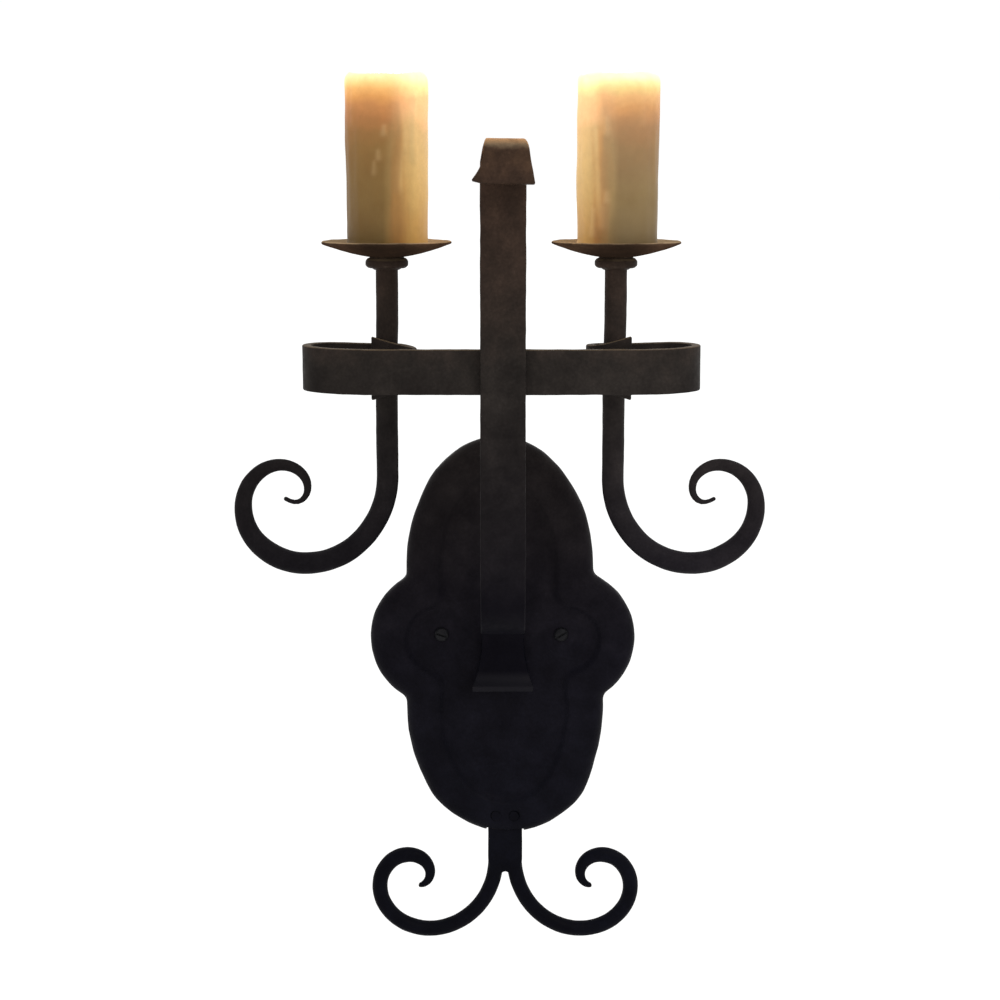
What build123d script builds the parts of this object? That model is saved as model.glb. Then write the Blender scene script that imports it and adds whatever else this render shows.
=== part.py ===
"""Hand-forged iron wall sconce that holds two pillar candles.

All sizes are in millimetres. The wall is the plane Y = 0, the front faces -Y and +Z is up.
The origin lies on the wall, midway between the two wall screws.
A "reach" is a distance in front of the wall, so a point at reach r has Y = -r.
"""
from build123d import *
import math
import os

os.makedirs("parts", exist_ok=True)

# ---------------------------------------------------------------- driving dimensions
SIDES = {"left": -1, "right": 1}

ROD_RADIUS = 6.35  # half-inch round rod of the two arms
FLAT_WIDTH = 25.4  # one-inch flat bar, for the upright and for the cross band
BAR_THICKNESS = 6.35
BAND_THICKNESS = 5.0

ROD_X = 65.2  # each candle stands this far from the centre line
ROD_REACH = 56.0  # and this far from the wall
ROD_TOP = 226.4  # shoulder of the rod, inside the collar

# cross band: one strip, rolled at each end into a loop that closes on the arm
BAND_LOW = 155.8
BAND_REACH = 88.5  # front face of the band
BAND_END_X = 113.0
LOOP_DEPTH = 44.0  # front face to back face of a loop
EYE_SIDE_X = 48.5  # inner side of the eye that wraps the rod
FISHTAIL_X = 74.0  # free end of the strip, spread into a fishtail
FISHTAIL_HEIGHT = 36.0
GRIP_GAP = 0.1  # paint-thin gap between the rod and the strip that holds it

# upright bar: folded over at the top, swept back to the plate at the bottom
FOLD_TOP = 297.0
FOLD_RADIUS = 6.0  # to the middle of the bar's thickness
FOLD_TURN = 168.0
LIP_RUN = 15.5
LIP_HALF_WIDTH = 17.4
LIP_CUT = 27.5  # the lip widens evenly down to this far below the fold, just past its end
SWEEP_TOP = 43.5  # where the bar starts to turn back to the wall
SWEEP_RADIUS = 26.0
SWEEP_TURN = 84.0
HEEL_RADIUS = 20.0
FOOT_LENGTH = 15.0
TOE_RADIUS = 11.0
TOE_TURN = 58.0
TOE_RUN = 3.0
TOE_HALF_WIDTH = 18.5

# back plate: two upright ovals and two side lobes, edge rolled back to the wall, middle sunk
PLATE_Z = -3.0
PLATE_DEPTH = 14.5
PLATE_SHEET = 3.0
PLATE_EDGE_RADIUS = 9.0
OVAL_RISE = 44.0
OVAL_HALF_HEIGHT = 80.0
UPPER_OVAL_X = -1.7  # the plate was cut by hand, so its two ovals differ a little
UPPER_OVAL_HALF_WIDTH = 57.0
LOWER_OVAL_X = 1.5
LOWER_OVAL_HALF_WIDTH = 60.5
LOBE_X = 38.5
LOBE_RADIUS = 42.4
COVE_RADIUS = 6.5
SUNK_INSET = 20.0
SUNK_DEPTH = 4.0
SUNK_COVE_RADIUS = 12.0
SUNK_UNDERCUT = 2.0  # how far the underside of the sloping wall stands out from its front
NOTCH_GAP = 0.2  # each side of the tail, where it leaves the rolled edge
NOTCH_RISE = 12.0

# wall screws, in place
SCREW_X = 36.5
SCREW_HEAD_RADIUS = 4.2
SCREW_HEAD_RIM = 0.8
SCREW_HEAD_DOME = 2.0
SCREW_SLOT_WIDTH = 1.2
SCREW_SLOT_DEPTH = 1.5
SCREW_POINT = 5.0
SCREW_NECK_END = 0.5  # the plain neck ends this far behind the sheet
SCREW_NECK_RADIUS = 2.3
SCREW_THREAD_RADIUS = 2.0
SCREW_HOLE_RADIUS = 2.5
SCREW_GRIP = 25.0  # length beyond the wall face

# arm scroll: the bend tightens as it turns, radius = start * (1 - turned / vanish) ** power
ARM_SCROLL_TOP = 104.3
ARM_SCROLL_START = 57.15
ARM_SCROLL_VANISH = 696.7
ARM_SCROLL_POWER = 2.303
ARM_SCROLL_TURN = 551.3
ARM_TAPER_FROM = 120.0
ARM_TAPER_POWER = 1.5
ARM_TIP_RADIUS = 0.9

# tail: a flat bar split in two below the plate, each half drawn round and scrolled
TAIL_REACH = 7.5  # middle of the flat bar
TAIL_THICKNESS = 8.0
TAIL_TOP = -110.0
TAIL_SCROLL_TOP = -144.3
TAIL_SCROLL_START = 52.6
TAIL_SCROLL_VANISH = 1840.0
TAIL_SCROLL_POWER = 7.7
TAIL_SCROLL_TURN = 451.8
TAIL_HALF_WIDTH = 10.6
TAIL_LEG_X = 5.8
TAIL_LEG_RADIUS = 4.8
TAIL_TAPER_FROM = 270.0
TAIL_TAPER_POWER = 0.9
TAIL_TIP_RADIUS = 1.5
CROTCH_Z = -151.5  # top of the split between the legs
CROTCH_RADIUS = 2.9
CROTCH_HALF_WIDTH = 7.6

SCROLL_ARCS = 12

# drip pan, collar and pricket
PAN_RADIUS = 37.0
PAN_RIM_Z = 239.3
PAN_MID_RADIUS = 26.2
PAN_MID_Z = 234.9
PAN_SEAT_RADIUS = 11.0
PAN_SEAT_Z = 231.3
PAN_SHEET = 1.8
PAN_EDGE_IN = 0.7
PAN_EDGE_UP = 1.3
STUD_RADIUS = 4.0
STUD_TOP = 238.0
COLLAR_LOW = 223.9
COLLAR_BEAD_LOW = 226.0
COLLAR_BEAD_HIGH = 230.2
COLLAR_BEAD_RADIUS = 12.2
COLLAR_BEVEL_IN = 0.8
COLLAR_BEVEL_UP = 1.2
COLLAR_NECK_RADIUS = 9.85
COLLAR_FOOT_RADIUS = 7.6
BORE_GAP = 0.05  # each side, between a stud or rivet and its hole
WASHER_RADIUS = 9.0
WASHER_THICKNESS = 1.4
PRICKET_NUT_RADIUS = 7.0
PRICKET_NUT_HEIGHT = 5.0
PRICKET_SPIKE_RADIUS = 3.2
PRICKET_TOP = 264.0
PRICKET_GAP = 0.4  # between the spike and the bore that it has made in the wax
PRICKET_POCKET_RADIUS = 9.5
PRICKET_POCKET_HEIGHT = 4.0

# candle: burned down in the middle, so that a rim of wax stands round the melt bowl
CANDLE_TOP = 333.5
CANDLE_SEAT_Z = 236.0  # the pan's upper face under the edge of the candle
CANDLE_SEAT_GAP = 0.35
CANDLE_BASE_RADIUS = 23.4
CANDLE_TOP_RADIUS = 24.1
CANDLE_SHOULDER = 4.5
CANDLE_SHOULDER_TURN = 70.0
BOWL_RADIUS = 18.6
BOWL_DEPTH = 17.0
BOWL_RIM_DROP = 2.55  # where the wall of the bowl starts, below the candle's top
BOWL_HEEL_RADIUS = 13.0  # where the wall turns into the floor
BOWL_HEEL_RISE = 3.4
BOWL_FLOOR_RADIUS = 9.0
WICK_RADIUS = 0.9
WICK_ROOT = 20.0
WICK_STAND = 8.5

RIVET_RADIUS = 4.0
SMALL_RIVET_RADIUS = 2.5
RIVET_HEAD_RATIO = 1.75
RIVET_HEAD_HEIGHT = 3.0
SMALL_RIVET_HEAD_HEIGHT = 2.0
FOOT_RIVETS = ((-7.0, -16.0), (7.0, -16.0))
TAIL_RIVETS = ((-5.5, -114.3), (5.5, -114.3))

# ---------------------------------------------------------------- derived places
PLATE_BOTTOM = PLATE_Z - OVAL_RISE - OVAL_HALF_HEIGHT
BAND_MID_Z = BAND_LOW + FLAT_WIDTH / 2
BAND_HIGH = BAND_LOW + FLAT_WIDTH
STRIP_FRONT = BAND_REACH - BAND_THICKNESS / 2
STRIP_BACK = BAND_REACH - LOOP_DEPTH + BAND_THICKNESS / 2
LOOP_RADIUS = (STRIP_FRONT - STRIP_BACK) / 2
LOOP_X = BAND_END_X - BAND_THICKNESS / 2 - LOOP_RADIUS
EYE_FRONT = ROD_REACH + ROD_RADIUS + GRIP_GAP + BAND_THICKNESS / 2
EYE_RADIUS = (EYE_FRONT - STRIP_BACK) / 2
EYE_X = EYE_SIDE_X + BAND_THICKNESS / 2 + EYE_RADIUS
BAR_REACH = BAND_REACH + BAR_THICKNESS / 2  # middle of the upright bar
SUNK_REACH = PLATE_DEPTH - SUNK_DEPTH  # front face of the sunk middle
SUNK_BACK = SUNK_REACH - PLATE_SHEET
FOOT_REACH = SUNK_REACH + BAR_THICKNESS / 2
FOLD_CENTRE_Z = FOLD_TOP - BAR_THICKNESS / 2 - FOLD_RADIUS
CANDLE_BASE = CANDLE_SEAT_Z + CANDLE_SEAT_GAP
BOWL_FLOOR = CANDLE_TOP - BOWL_DEPTH
WASHER_LOW = PAN_SEAT_Z + PAN_SHEET
PRICKET_LOW = WASHER_LOW + WASHER_THICKNESS
PRICKET_NUT_TOP = PRICKET_LOW + PRICKET_NUT_HEIGHT


# ---------------------------------------------------------------- helpers
def finish(part, name):
    """Give a finished piece its name and write it to its own file."""
    part.label = name
    export_step(part, f"parts/{name}.step")


def upright_plane(centre_x, reach=ROD_REACH):
    """Plane parallel to the wall whose local x runs along +X and local y along +Z."""
    return Plane(origin=(centre_x, -reach, 0), x_dir=(1, 0, 0), z_dir=(0, -1, 0))


def turning_axis(side):
    """Upright axis of one candle."""
    return Axis((side * ROD_X, -ROD_REACH, 0), (0, 0, 1))


def scroll_arcs(start, heading, start_radius, vanish, power, turn):
    """Tangent arcs inside a BuildLine, each tighter than the last; returns them in order."""
    step = turn / SCROLL_ARCS
    arcs = []
    for index in range(SCROLL_ARCS):
        radius = start_radius * (1 - (index + 0.5) * step / vanish) ** power
        arc = JernArc(start=start, tangent=heading, radius=radius, arc_size=step)
        arcs.append(arc)
        start = arc @ 1
        heading = arc % 1
    return arcs


def tapered(full_radius, tip_radius, taper_from, taper_power, turned, turn):
    """Radius of a drawn-out rod after it has turned this many degrees."""
    if turned <= taper_from:
        return full_radius
    left = 1 - (turned - taper_from) / (turn - taper_from)
    return tip_radius + (full_radius - tip_radius) * left**taper_power


# ---------------------------------------------------------------- back plate
def plate_outline(inset, cove_radius):
    """Quatrefoil with upright ovals, drawn inside a sketch and set in by the given amount."""
    for centre_x, centre_z, seam, half_width in (
        (UPPER_OVAL_X, PLATE_Z + OVAL_RISE, -90, UPPER_OVAL_HALF_WIDTH),
        (LOWER_OVAL_X, PLATE_Z - OVAL_RISE, 90, LOWER_OVAL_HALF_WIDTH),
    ):
        with Locations(Location((centre_x, centre_z), seam)):
            Ellipse(OVAL_HALF_HEIGHT - inset, half_width - inset)
    with Locations((LOBE_X, PLATE_Z), (-LOBE_X, PLATE_Z)):
        Circle(LOBE_RADIUS - inset)
    with Locations((0, PLATE_Z)):
        Rectangle(2 * LOBE_X, LOBE_RADIUS - inset)  # fills the middle, between the four rounds
    fillet(vertices(), cove_radius)


with BuildPart() as backplate:
    with BuildSketch(Plane.XZ):
        plate_outline(0, COVE_RADIUS)
    extrude(amount=PLATE_DEPTH)
    fillet(backplate.edges().group_by(Axis.Y)[0], PLATE_EDGE_RADIUS)
    offset(amount=-PLATE_SHEET, openings=backplate.faces().sort_by(Axis.Y)[-1])
    # the sunk middle: its underside is built up inside the shell, then its front is cut away
    for reach, inset, mode in (
        (SUNK_BACK, SUNK_INSET + SUNK_DEPTH - SUNK_UNDERCUT, Mode.ADD),
        (SUNK_REACH, SUNK_INSET + SUNK_DEPTH, Mode.SUBTRACT),
    ):
        with BuildSketch(Plane.XZ.offset(reach + SUNK_DEPTH)):
            plate_outline(inset - SUNK_DEPTH, SUNK_COVE_RADIUS)
        with BuildSketch(Plane.XZ.offset(reach)):
            plate_outline(inset, SUNK_COVE_RADIUS)
        loft(ruled=True, mode=mode)
    # holes for the wall screws, the foot's rivets and the tail's rivets
    with BuildSketch(Plane.XZ):
        with Locations((-SCREW_X, 0), (SCREW_X, 0)):
            Circle(SCREW_HOLE_RADIUS)
        with Locations(*FOOT_RIVETS, *TAIL_RIVETS):
            Circle(SMALL_RIVET_RADIUS + BORE_GAP)
    extrude(amount=PLATE_DEPTH, mode=Mode.SUBTRACT)
    # notch in the rolled edge where the tail comes out from behind the plate
    with BuildSketch(Plane.XZ):
        with Locations((0, PLATE_BOTTOM)):
            Rectangle(2 * (TAIL_HALF_WIDTH + NOTCH_GAP), 2 * NOTCH_RISE)
    extrude(amount=TAIL_REACH + TAIL_THICKNESS / 2, mode=Mode.SUBTRACT)
finish(backplate.part, "backplate")


# ---------------------------------------------------------------- upright bar
def bar_strip(line, half_width):
    """Flat bar of the upright's thickness, along a line drawn in the centre plane."""
    with BuildPart() as strip:
        with BuildSketch(Plane.YZ):
            trace(line, BAR_THICKNESS)
        extrude(amount=half_width, both=True)
    return strip.part


def spread_end(strip, outline):
    """The end of a flat bar, cut to the spread outline that it shows from the front."""
    with BuildPart() as end:
        add(strip)
        with BuildSketch(Plane.XZ):
            with BuildLine():
                Polyline(*outline, close=True)
            make_face()
        extrude(amount=2 * BAND_REACH, mode=Mode.INTERSECT)
    return end.part


with BuildLine() as shank_line:
    fold_rise = JernArc((-BAR_REACH, FOLD_CENTRE_Z), (0, 1), FOLD_RADIUS, 90)
    Line((-BAR_REACH, SWEEP_TOP), (-BAR_REACH, FOLD_CENTRE_Z))
    sweep_bend = JernArc((-BAR_REACH, SWEEP_TOP), (0, -1), SWEEP_RADIUS, SWEEP_TURN)
    bend_reach = (SWEEP_RADIUS + HEEL_RADIUS) * (1 - math.cos(math.radians(SWEEP_TURN)))
    run_length = (BAR_REACH - FOOT_REACH - bend_reach) / math.sin(math.radians(SWEEP_TURN))
    run = Line(sweep_bend @ 1, sweep_bend @ 1 + (sweep_bend % 1) * run_length)
    heel_bend = JernArc(run @ 1, run % 1, HEEL_RADIUS, -SWEEP_TURN)

with BuildLine() as lip_line:
    fold_over = JernArc(fold_rise @ 1, fold_rise % 1, FOLD_RADIUS, FOLD_TURN - 90)
    Line(fold_over @ 1, fold_over @ 1 + (fold_over % 1) * LIP_RUN)

with BuildLine() as toe_line:
    foot_run = Line(heel_bend @ 1, heel_bend @ 1 + (heel_bend % 1) * FOOT_LENGTH)
    toe_bend = JernArc(foot_run @ 1, foot_run % 1, TOE_RADIUS, -TOE_TURN)
    toe_run = Line(toe_bend @ 1, toe_bend @ 1 + (toe_bend % 1) * TOE_RUN)

LIP_BOTTOM = FOLD_TOP - LIP_CUT
HEEL_Z = (heel_bend @ 1).Y
TOE_BOTTOM = (toe_run @ 1).Y - BAR_THICKNESS

lip_end = spread_end(
    bar_strip(lip_line.line, LIP_HALF_WIDTH),
    [
        (-FLAT_WIDTH / 2, FOLD_TOP),
        (FLAT_WIDTH / 2, FOLD_TOP),
        (LIP_HALF_WIDTH, LIP_BOTTOM),
        (-LIP_HALF_WIDTH, LIP_BOTTOM),
    ],
)
toe_end = spread_end(
    bar_strip(toe_line.line, TOE_HALF_WIDTH),
    [
        (-FLAT_WIDTH / 2, HEEL_Z),
        (FLAT_WIDTH / 2, HEEL_Z),
        (TOE_HALF_WIDTH, TOE_BOTTOM),
        (-TOE_HALF_WIDTH, TOE_BOTTOM),
    ],
)

with BuildPart() as upright_bar:
    add(bar_strip(shank_line.line, FLAT_WIDTH / 2))
    add(lip_end)
    add(toe_end)
    with BuildSketch(Plane.XZ.offset(SUNK_REACH)):
        with Locations(*FOOT_RIVETS):
            Circle(SMALL_RIVET_RADIUS + BORE_GAP)
    extrude(amount=BAR_THICKNESS, mode=Mode.SUBTRACT)
    with BuildSketch(Plane.XZ.offset(BAND_REACH)):
        with Locations((0, BAND_MID_Z)):
            Circle(RIVET_RADIUS + BORE_GAP)
    extrude(amount=BAR_THICKNESS, mode=Mode.SUBTRACT)
finish(upright_bar.part, "upright_bar")


# ---------------------------------------------------------------- cross band
with BuildPart() as half_band:
    with BuildSketch(Plane.XY.offset(BAND_LOW)):
        with BuildLine():
            Line((0, -STRIP_FRONT), (LOOP_X, -STRIP_FRONT))
            loop = JernArc((LOOP_X, -STRIP_FRONT), (1, 0), LOOP_RADIUS, 180)
            Line(loop @ 1, (EYE_X, -STRIP_BACK))
            eye = JernArc((EYE_X, -STRIP_BACK), (-1, 0), EYE_RADIUS, 180)
        trace(line_width=BAND_THICKNESS)
    extrude(amount=FLAT_WIDTH)
    with BuildSketch(Plane.XZ.offset(EYE_FRONT - BAND_THICKNESS / 2)):
        with BuildLine():
            Polyline(
                (EYE_X, BAND_LOW),
                (FISHTAIL_X, BAND_MID_Z - FISHTAIL_HEIGHT / 2),
                (FISHTAIL_X, BAND_MID_Z + FISHTAIL_HEIGHT / 2),
                (EYE_X, BAND_HIGH),
                close=True,
            )
        make_face()
    extrude(amount=BAND_THICKNESS)

with BuildPart() as cross_band:
    add(half_band.part)
    mirror(about=Plane.YZ)
    with BuildSketch(Plane.XZ.offset(BAND_REACH - BAND_THICKNESS)):
        with Locations((0, BAND_MID_Z)):
            Circle(RIVET_RADIUS + BORE_GAP)
    extrude(amount=BAND_THICKNESS, mode=Mode.SUBTRACT)
finish(cross_band.part, "cross_band")


# ---------------------------------------------------------------- arms
def drawn_rod(start_run, arcs, full_radius, tip_radius, taper_from, taper_power, turn):
    """Round rod along a straight run and a scroll, drawn out to a fine tip."""
    step = turn / SCROLL_ARCS
    radius = full_radius
    with BuildPart() as rod:
        with BuildSketch(Plane(origin=start_run @ 0, z_dir=start_run % 0)):
            Circle(full_radius)
        extrude(amount=start_run.length)
        for index, arc in enumerate(arcs):
            with BuildSketch(Plane(origin=arc @ 0, z_dir=arc % 0)):
                Circle(radius)
            turned = (index + 1) * step
            radius = tapered(full_radius, tip_radius, taper_from, taper_power, turned, turn)
            with BuildSketch(Plane(origin=arc @ 1, z_dir=arc % 1)):
                Circle(radius)
            sweep(path=arc, multisection=True)
    return rod.part


with BuildLine(Plane.XZ.offset(ROD_REACH)):
    arm_run = Line((ROD_X, ROD_TOP), (ROD_X, ARM_SCROLL_TOP))
    arm_arcs = scroll_arcs(
        (ROD_X, ARM_SCROLL_TOP),
        (0, -1),
        ARM_SCROLL_START,
        ARM_SCROLL_VANISH,
        ARM_SCROLL_POWER,
        ARM_SCROLL_TURN,
    )

with BuildPart() as right_arm:
    add(
        drawn_rod(
            arm_run,
            arm_arcs,
            ROD_RADIUS,
            ARM_TIP_RADIUS,
            ARM_TAPER_FROM,
            ARM_TAPER_POWER,
            ARM_SCROLL_TURN,
        )
    )
    with BuildSketch(Plane.XY.offset(ROD_TOP)):
        with Locations((ROD_X, -ROD_REACH)):
            Circle(STUD_RADIUS)
    extrude(amount=STUD_TOP - ROD_TOP)
finish(right_arm.part, "right_arm")
finish(mirror(right_arm.part, about=Plane.YZ), "left_arm")


# ---------------------------------------------------------------- tail scroll
with BuildLine(Plane.XZ.offset(TAIL_REACH)):
    leg_run = Line((TAIL_LEG_X, TAIL_SCROLL_TOP + TAIL_LEG_RADIUS), (TAIL_LEG_X, TAIL_SCROLL_TOP))
    leg_arcs = scroll_arcs(
        (TAIL_LEG_X, TAIL_SCROLL_TOP),
        (0, -1),
        TAIL_SCROLL_START,
        TAIL_SCROLL_VANISH,
        TAIL_SCROLL_POWER,
        TAIL_SCROLL_TURN,
    )

tail_leg = drawn_rod(
    leg_run,
    leg_arcs,
    TAIL_LEG_RADIUS,
    TAIL_TIP_RADIUS,
    TAIL_TAPER_FROM,
    TAIL_TAPER_POWER,
    TAIL_SCROLL_TURN,
)

with BuildPart() as tail_scroll:
    with BuildSketch(Plane.XZ.offset(TAIL_REACH - TAIL_THICKNESS / 2)):
        with BuildLine():
            Polyline(
                (-TAIL_HALF_WIDTH, TAIL_TOP),
                (TAIL_HALF_WIDTH, TAIL_TOP),
                (TAIL_HALF_WIDTH, TAIL_SCROLL_TOP),
                (CROTCH_HALF_WIDTH, CROTCH_Z - CROTCH_RADIUS),
                (-CROTCH_HALF_WIDTH, CROTCH_Z - CROTCH_RADIUS),
                (-TAIL_HALF_WIDTH, TAIL_SCROLL_TOP),
                close=True,
            )
        make_face()
        with Locations((0, CROTCH_Z - CROTCH_RADIUS)):
            Circle(CROTCH_RADIUS, mode=Mode.SUBTRACT)
        with Locations(*TAIL_RIVETS):
            Circle(SMALL_RIVET_RADIUS + BORE_GAP, mode=Mode.SUBTRACT)
    extrude(amount=TAIL_THICKNESS)
    add(tail_leg)
    add(mirror(tail_leg, about=Plane.YZ))
finish(tail_scroll.part, "tail_scroll")


# ---------------------------------------------------------------- what carries each candle
def turned_part(side, outline):
    """Solid of revolution about a candle's axis, from (radius, height) points."""
    with BuildPart() as turned:
        with BuildSketch(upright_plane(side * ROD_X)):
            with BuildLine():
                Polyline(*outline, close=True)
            make_face()
        revolve(axis=turning_axis(side))
    return turned.part


def drip_pan(side):
    """Shallow dish of thin sheet, open to take a candle."""
    bore = STUD_RADIUS + BORE_GAP
    with BuildPart() as pan:
        with BuildSketch(upright_plane(side * ROD_X)):
            with BuildLine():
                Line((bore, PAN_SEAT_Z), (PAN_SEAT_RADIUS, PAN_SEAT_Z))
                under = ThreePointArc(
                    (PAN_SEAT_RADIUS, PAN_SEAT_Z), (PAN_MID_RADIUS, PAN_MID_Z), (PAN_RADIUS, PAN_RIM_Z)
                )
                edge = Line(under @ 1, under @ 1 + Vector(-PAN_EDGE_IN, PAN_EDGE_UP))
                over = ThreePointArc(
                    edge @ 1,
                    (PAN_MID_RADIUS, PAN_MID_Z + PAN_SHEET),
                    (PAN_SEAT_RADIUS, PAN_SEAT_Z + PAN_SHEET),
                )
                Line(over @ 1, (bore, PAN_SEAT_Z + PAN_SHEET))
                Line((bore, PAN_SEAT_Z + PAN_SHEET), (bore, PAN_SEAT_Z))
            make_face()
        revolve(axis=turning_axis(side))
    return pan.part


def candle(side):
    """Pillar of wax with a melt bowl in its top, bored for the pricket and the wick."""
    with BuildPart() as wax:
        with BuildSketch(upright_plane(side * ROD_X)):
            with BuildLine():
                nut_top = CANDLE_BASE + PRICKET_POCKET_HEIGHT
                Polyline(
                    (0, BOWL_FLOOR),
                    (0, PRICKET_TOP + 2 * PRICKET_GAP),
                    (PRICKET_SPIKE_RADIUS + PRICKET_GAP, nut_top),
                    (PRICKET_POCKET_RADIUS, nut_top),
                    (PRICKET_POCKET_RADIUS, CANDLE_BASE),
                    (CANDLE_BASE_RADIUS, CANDLE_BASE),
                    (CANDLE_TOP_RADIUS, CANDLE_TOP - CANDLE_SHOULDER),
                )
                shoulder = JernArc(
                    (CANDLE_TOP_RADIUS, CANDLE_TOP - CANDLE_SHOULDER),
                    (0, 1),
                    CANDLE_SHOULDER,
                    CANDLE_SHOULDER_TURN,
                )
                Spline(
                    shoulder @ 1,
                    (BOWL_RADIUS, CANDLE_TOP - BOWL_RIM_DROP),
                    (BOWL_HEEL_RADIUS, BOWL_FLOOR + BOWL_HEEL_RISE),
                    (BOWL_FLOOR_RADIUS, BOWL_FLOOR),
                    tangents=(shoulder % 1, (-1, 0)),
                )
                Line((BOWL_FLOOR_RADIUS, BOWL_FLOOR), (0, BOWL_FLOOR))
            make_face()
        revolve(axis=turning_axis(side))
        with BuildSketch(Plane.XY.offset(BOWL_FLOOR - WICK_ROOT)):
            with Locations((side * ROD_X, -ROD_REACH)):
                Circle(WICK_RADIUS + BORE_GAP)
        extrude(amount=WICK_ROOT, mode=Mode.SUBTRACT)
    return wax.part


def wick(side):
    """Braided wick, from its root in the wax to its burned tip."""
    with BuildPart() as braid:
        with BuildSketch(Plane.XY.offset(BOWL_FLOOR - WICK_ROOT)):
            with Locations((side * ROD_X, -ROD_REACH)):
                Circle(WICK_RADIUS)
        extrude(amount=WICK_ROOT + WICK_STAND)
        fillet(braid.edges().group_by(Axis.Z)[-1], WICK_RADIUS / 2)
    return braid.part


COLLAR_OUTLINE = [
    (ROD_RADIUS + BORE_GAP, COLLAR_LOW),
    (COLLAR_FOOT_RADIUS, COLLAR_LOW),
    (COLLAR_NECK_RADIUS, COLLAR_BEAD_LOW),
    (COLLAR_BEAD_RADIUS - COLLAR_BEVEL_IN, COLLAR_BEAD_LOW),
    (COLLAR_BEAD_RADIUS, COLLAR_BEAD_LOW + COLLAR_BEVEL_UP),
    (COLLAR_BEAD_RADIUS, COLLAR_BEAD_HIGH - COLLAR_BEVEL_UP),
    (COLLAR_BEAD_RADIUS - COLLAR_BEVEL_IN, COLLAR_BEAD_HIGH),
    (COLLAR_NECK_RADIUS, COLLAR_BEAD_HIGH),
    (COLLAR_NECK_RADIUS, PAN_SEAT_Z),
    (STUD_RADIUS + BORE_GAP, PAN_SEAT_Z),
    (STUD_RADIUS + BORE_GAP, ROD_TOP),
    (ROD_RADIUS + BORE_GAP, ROD_TOP),
]
WASHER_OUTLINE = [
    (STUD_RADIUS + BORE_GAP, WASHER_LOW),
    (WASHER_RADIUS, WASHER_LOW),
    (WASHER_RADIUS, PRICKET_LOW),
    (STUD_RADIUS + BORE_GAP, PRICKET_LOW),
]
PRICKET_OUTLINE = [
    (STUD_RADIUS + BORE_GAP, PRICKET_LOW),
    (PRICKET_NUT_RADIUS, PRICKET_LOW),
    (PRICKET_NUT_RADIUS, PRICKET_NUT_TOP),
    (PRICKET_SPIKE_RADIUS, PRICKET_NUT_TOP),
    (0, PRICKET_TOP),
    (0, STUD_TOP + BORE_GAP),
    (STUD_RADIUS + BORE_GAP, STUD_TOP + BORE_GAP),
]

for side_name, side in SIDES.items():
    finish(drip_pan(side), f"{side_name}_drip_pan")
    finish(turned_part(side, COLLAR_OUTLINE), f"{side_name}_collar")
    finish(turned_part(side, WASHER_OUTLINE), f"{side_name}_washer")
    finish(turned_part(side, PRICKET_OUTLINE), f"{side_name}_pricket")
    finish(candle(side), f"{side_name}_candle")
    finish(wick(side), f"{side_name}_wick")


# ---------------------------------------------------------------- rivets and screws
def dome_radius(head_radius, head_height):
    """Radius of the ball that a domed head is cut from."""
    return (head_radius**2 + head_height**2) / (2 * head_height)


def rivets(places, radius, front, back, head_height):
    """Rivets hammered flush in front, each with a domed head behind."""
    head_radius = RIVET_HEAD_RATIO * radius
    with BuildPart() as group:
        with BuildSketch(Plane.XZ.offset(back)):
            with Locations(*places):
                Circle(radius)
        extrude(amount=front - back)
        for x, z in places:
            with BuildSketch(Plane(origin=(x, -back, z), x_dir=(1, 0, 0), z_dir=(0, 0, 1))):
                with BuildLine():
                    Line((0, 0), (head_radius, 0))
                    RadiusArc((head_radius, 0), (0, head_height), -dome_radius(head_radius, head_height))
                    Line((0, head_height), (0, 0))
                make_face()
            revolve(axis=Axis((x, -back, z), (0, 1, 0)))
    return group.part


finish(
    rivets(
        [(0, BAND_MID_Z)],
        RIVET_RADIUS,
        BAND_REACH + BAR_THICKNESS,
        BAND_REACH - BAND_THICKNESS,
        RIVET_HEAD_HEIGHT,
    ),
    "crossing_rivet",
)
finish(
    rivets(
        FOOT_RIVETS,
        SMALL_RIVET_RADIUS,
        SUNK_REACH + BAR_THICKNESS,
        SUNK_BACK,
        SMALL_RIVET_HEAD_HEIGHT,
    ),
    "foot_rivets",
)
finish(
    rivets(
        TAIL_RIVETS,
        SMALL_RIVET_RADIUS,
        PLATE_DEPTH,
        TAIL_REACH - TAIL_THICKNESS / 2,
        SMALL_RIVET_HEAD_HEIGHT,
    ),
    "tail_rivets",
)

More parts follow.
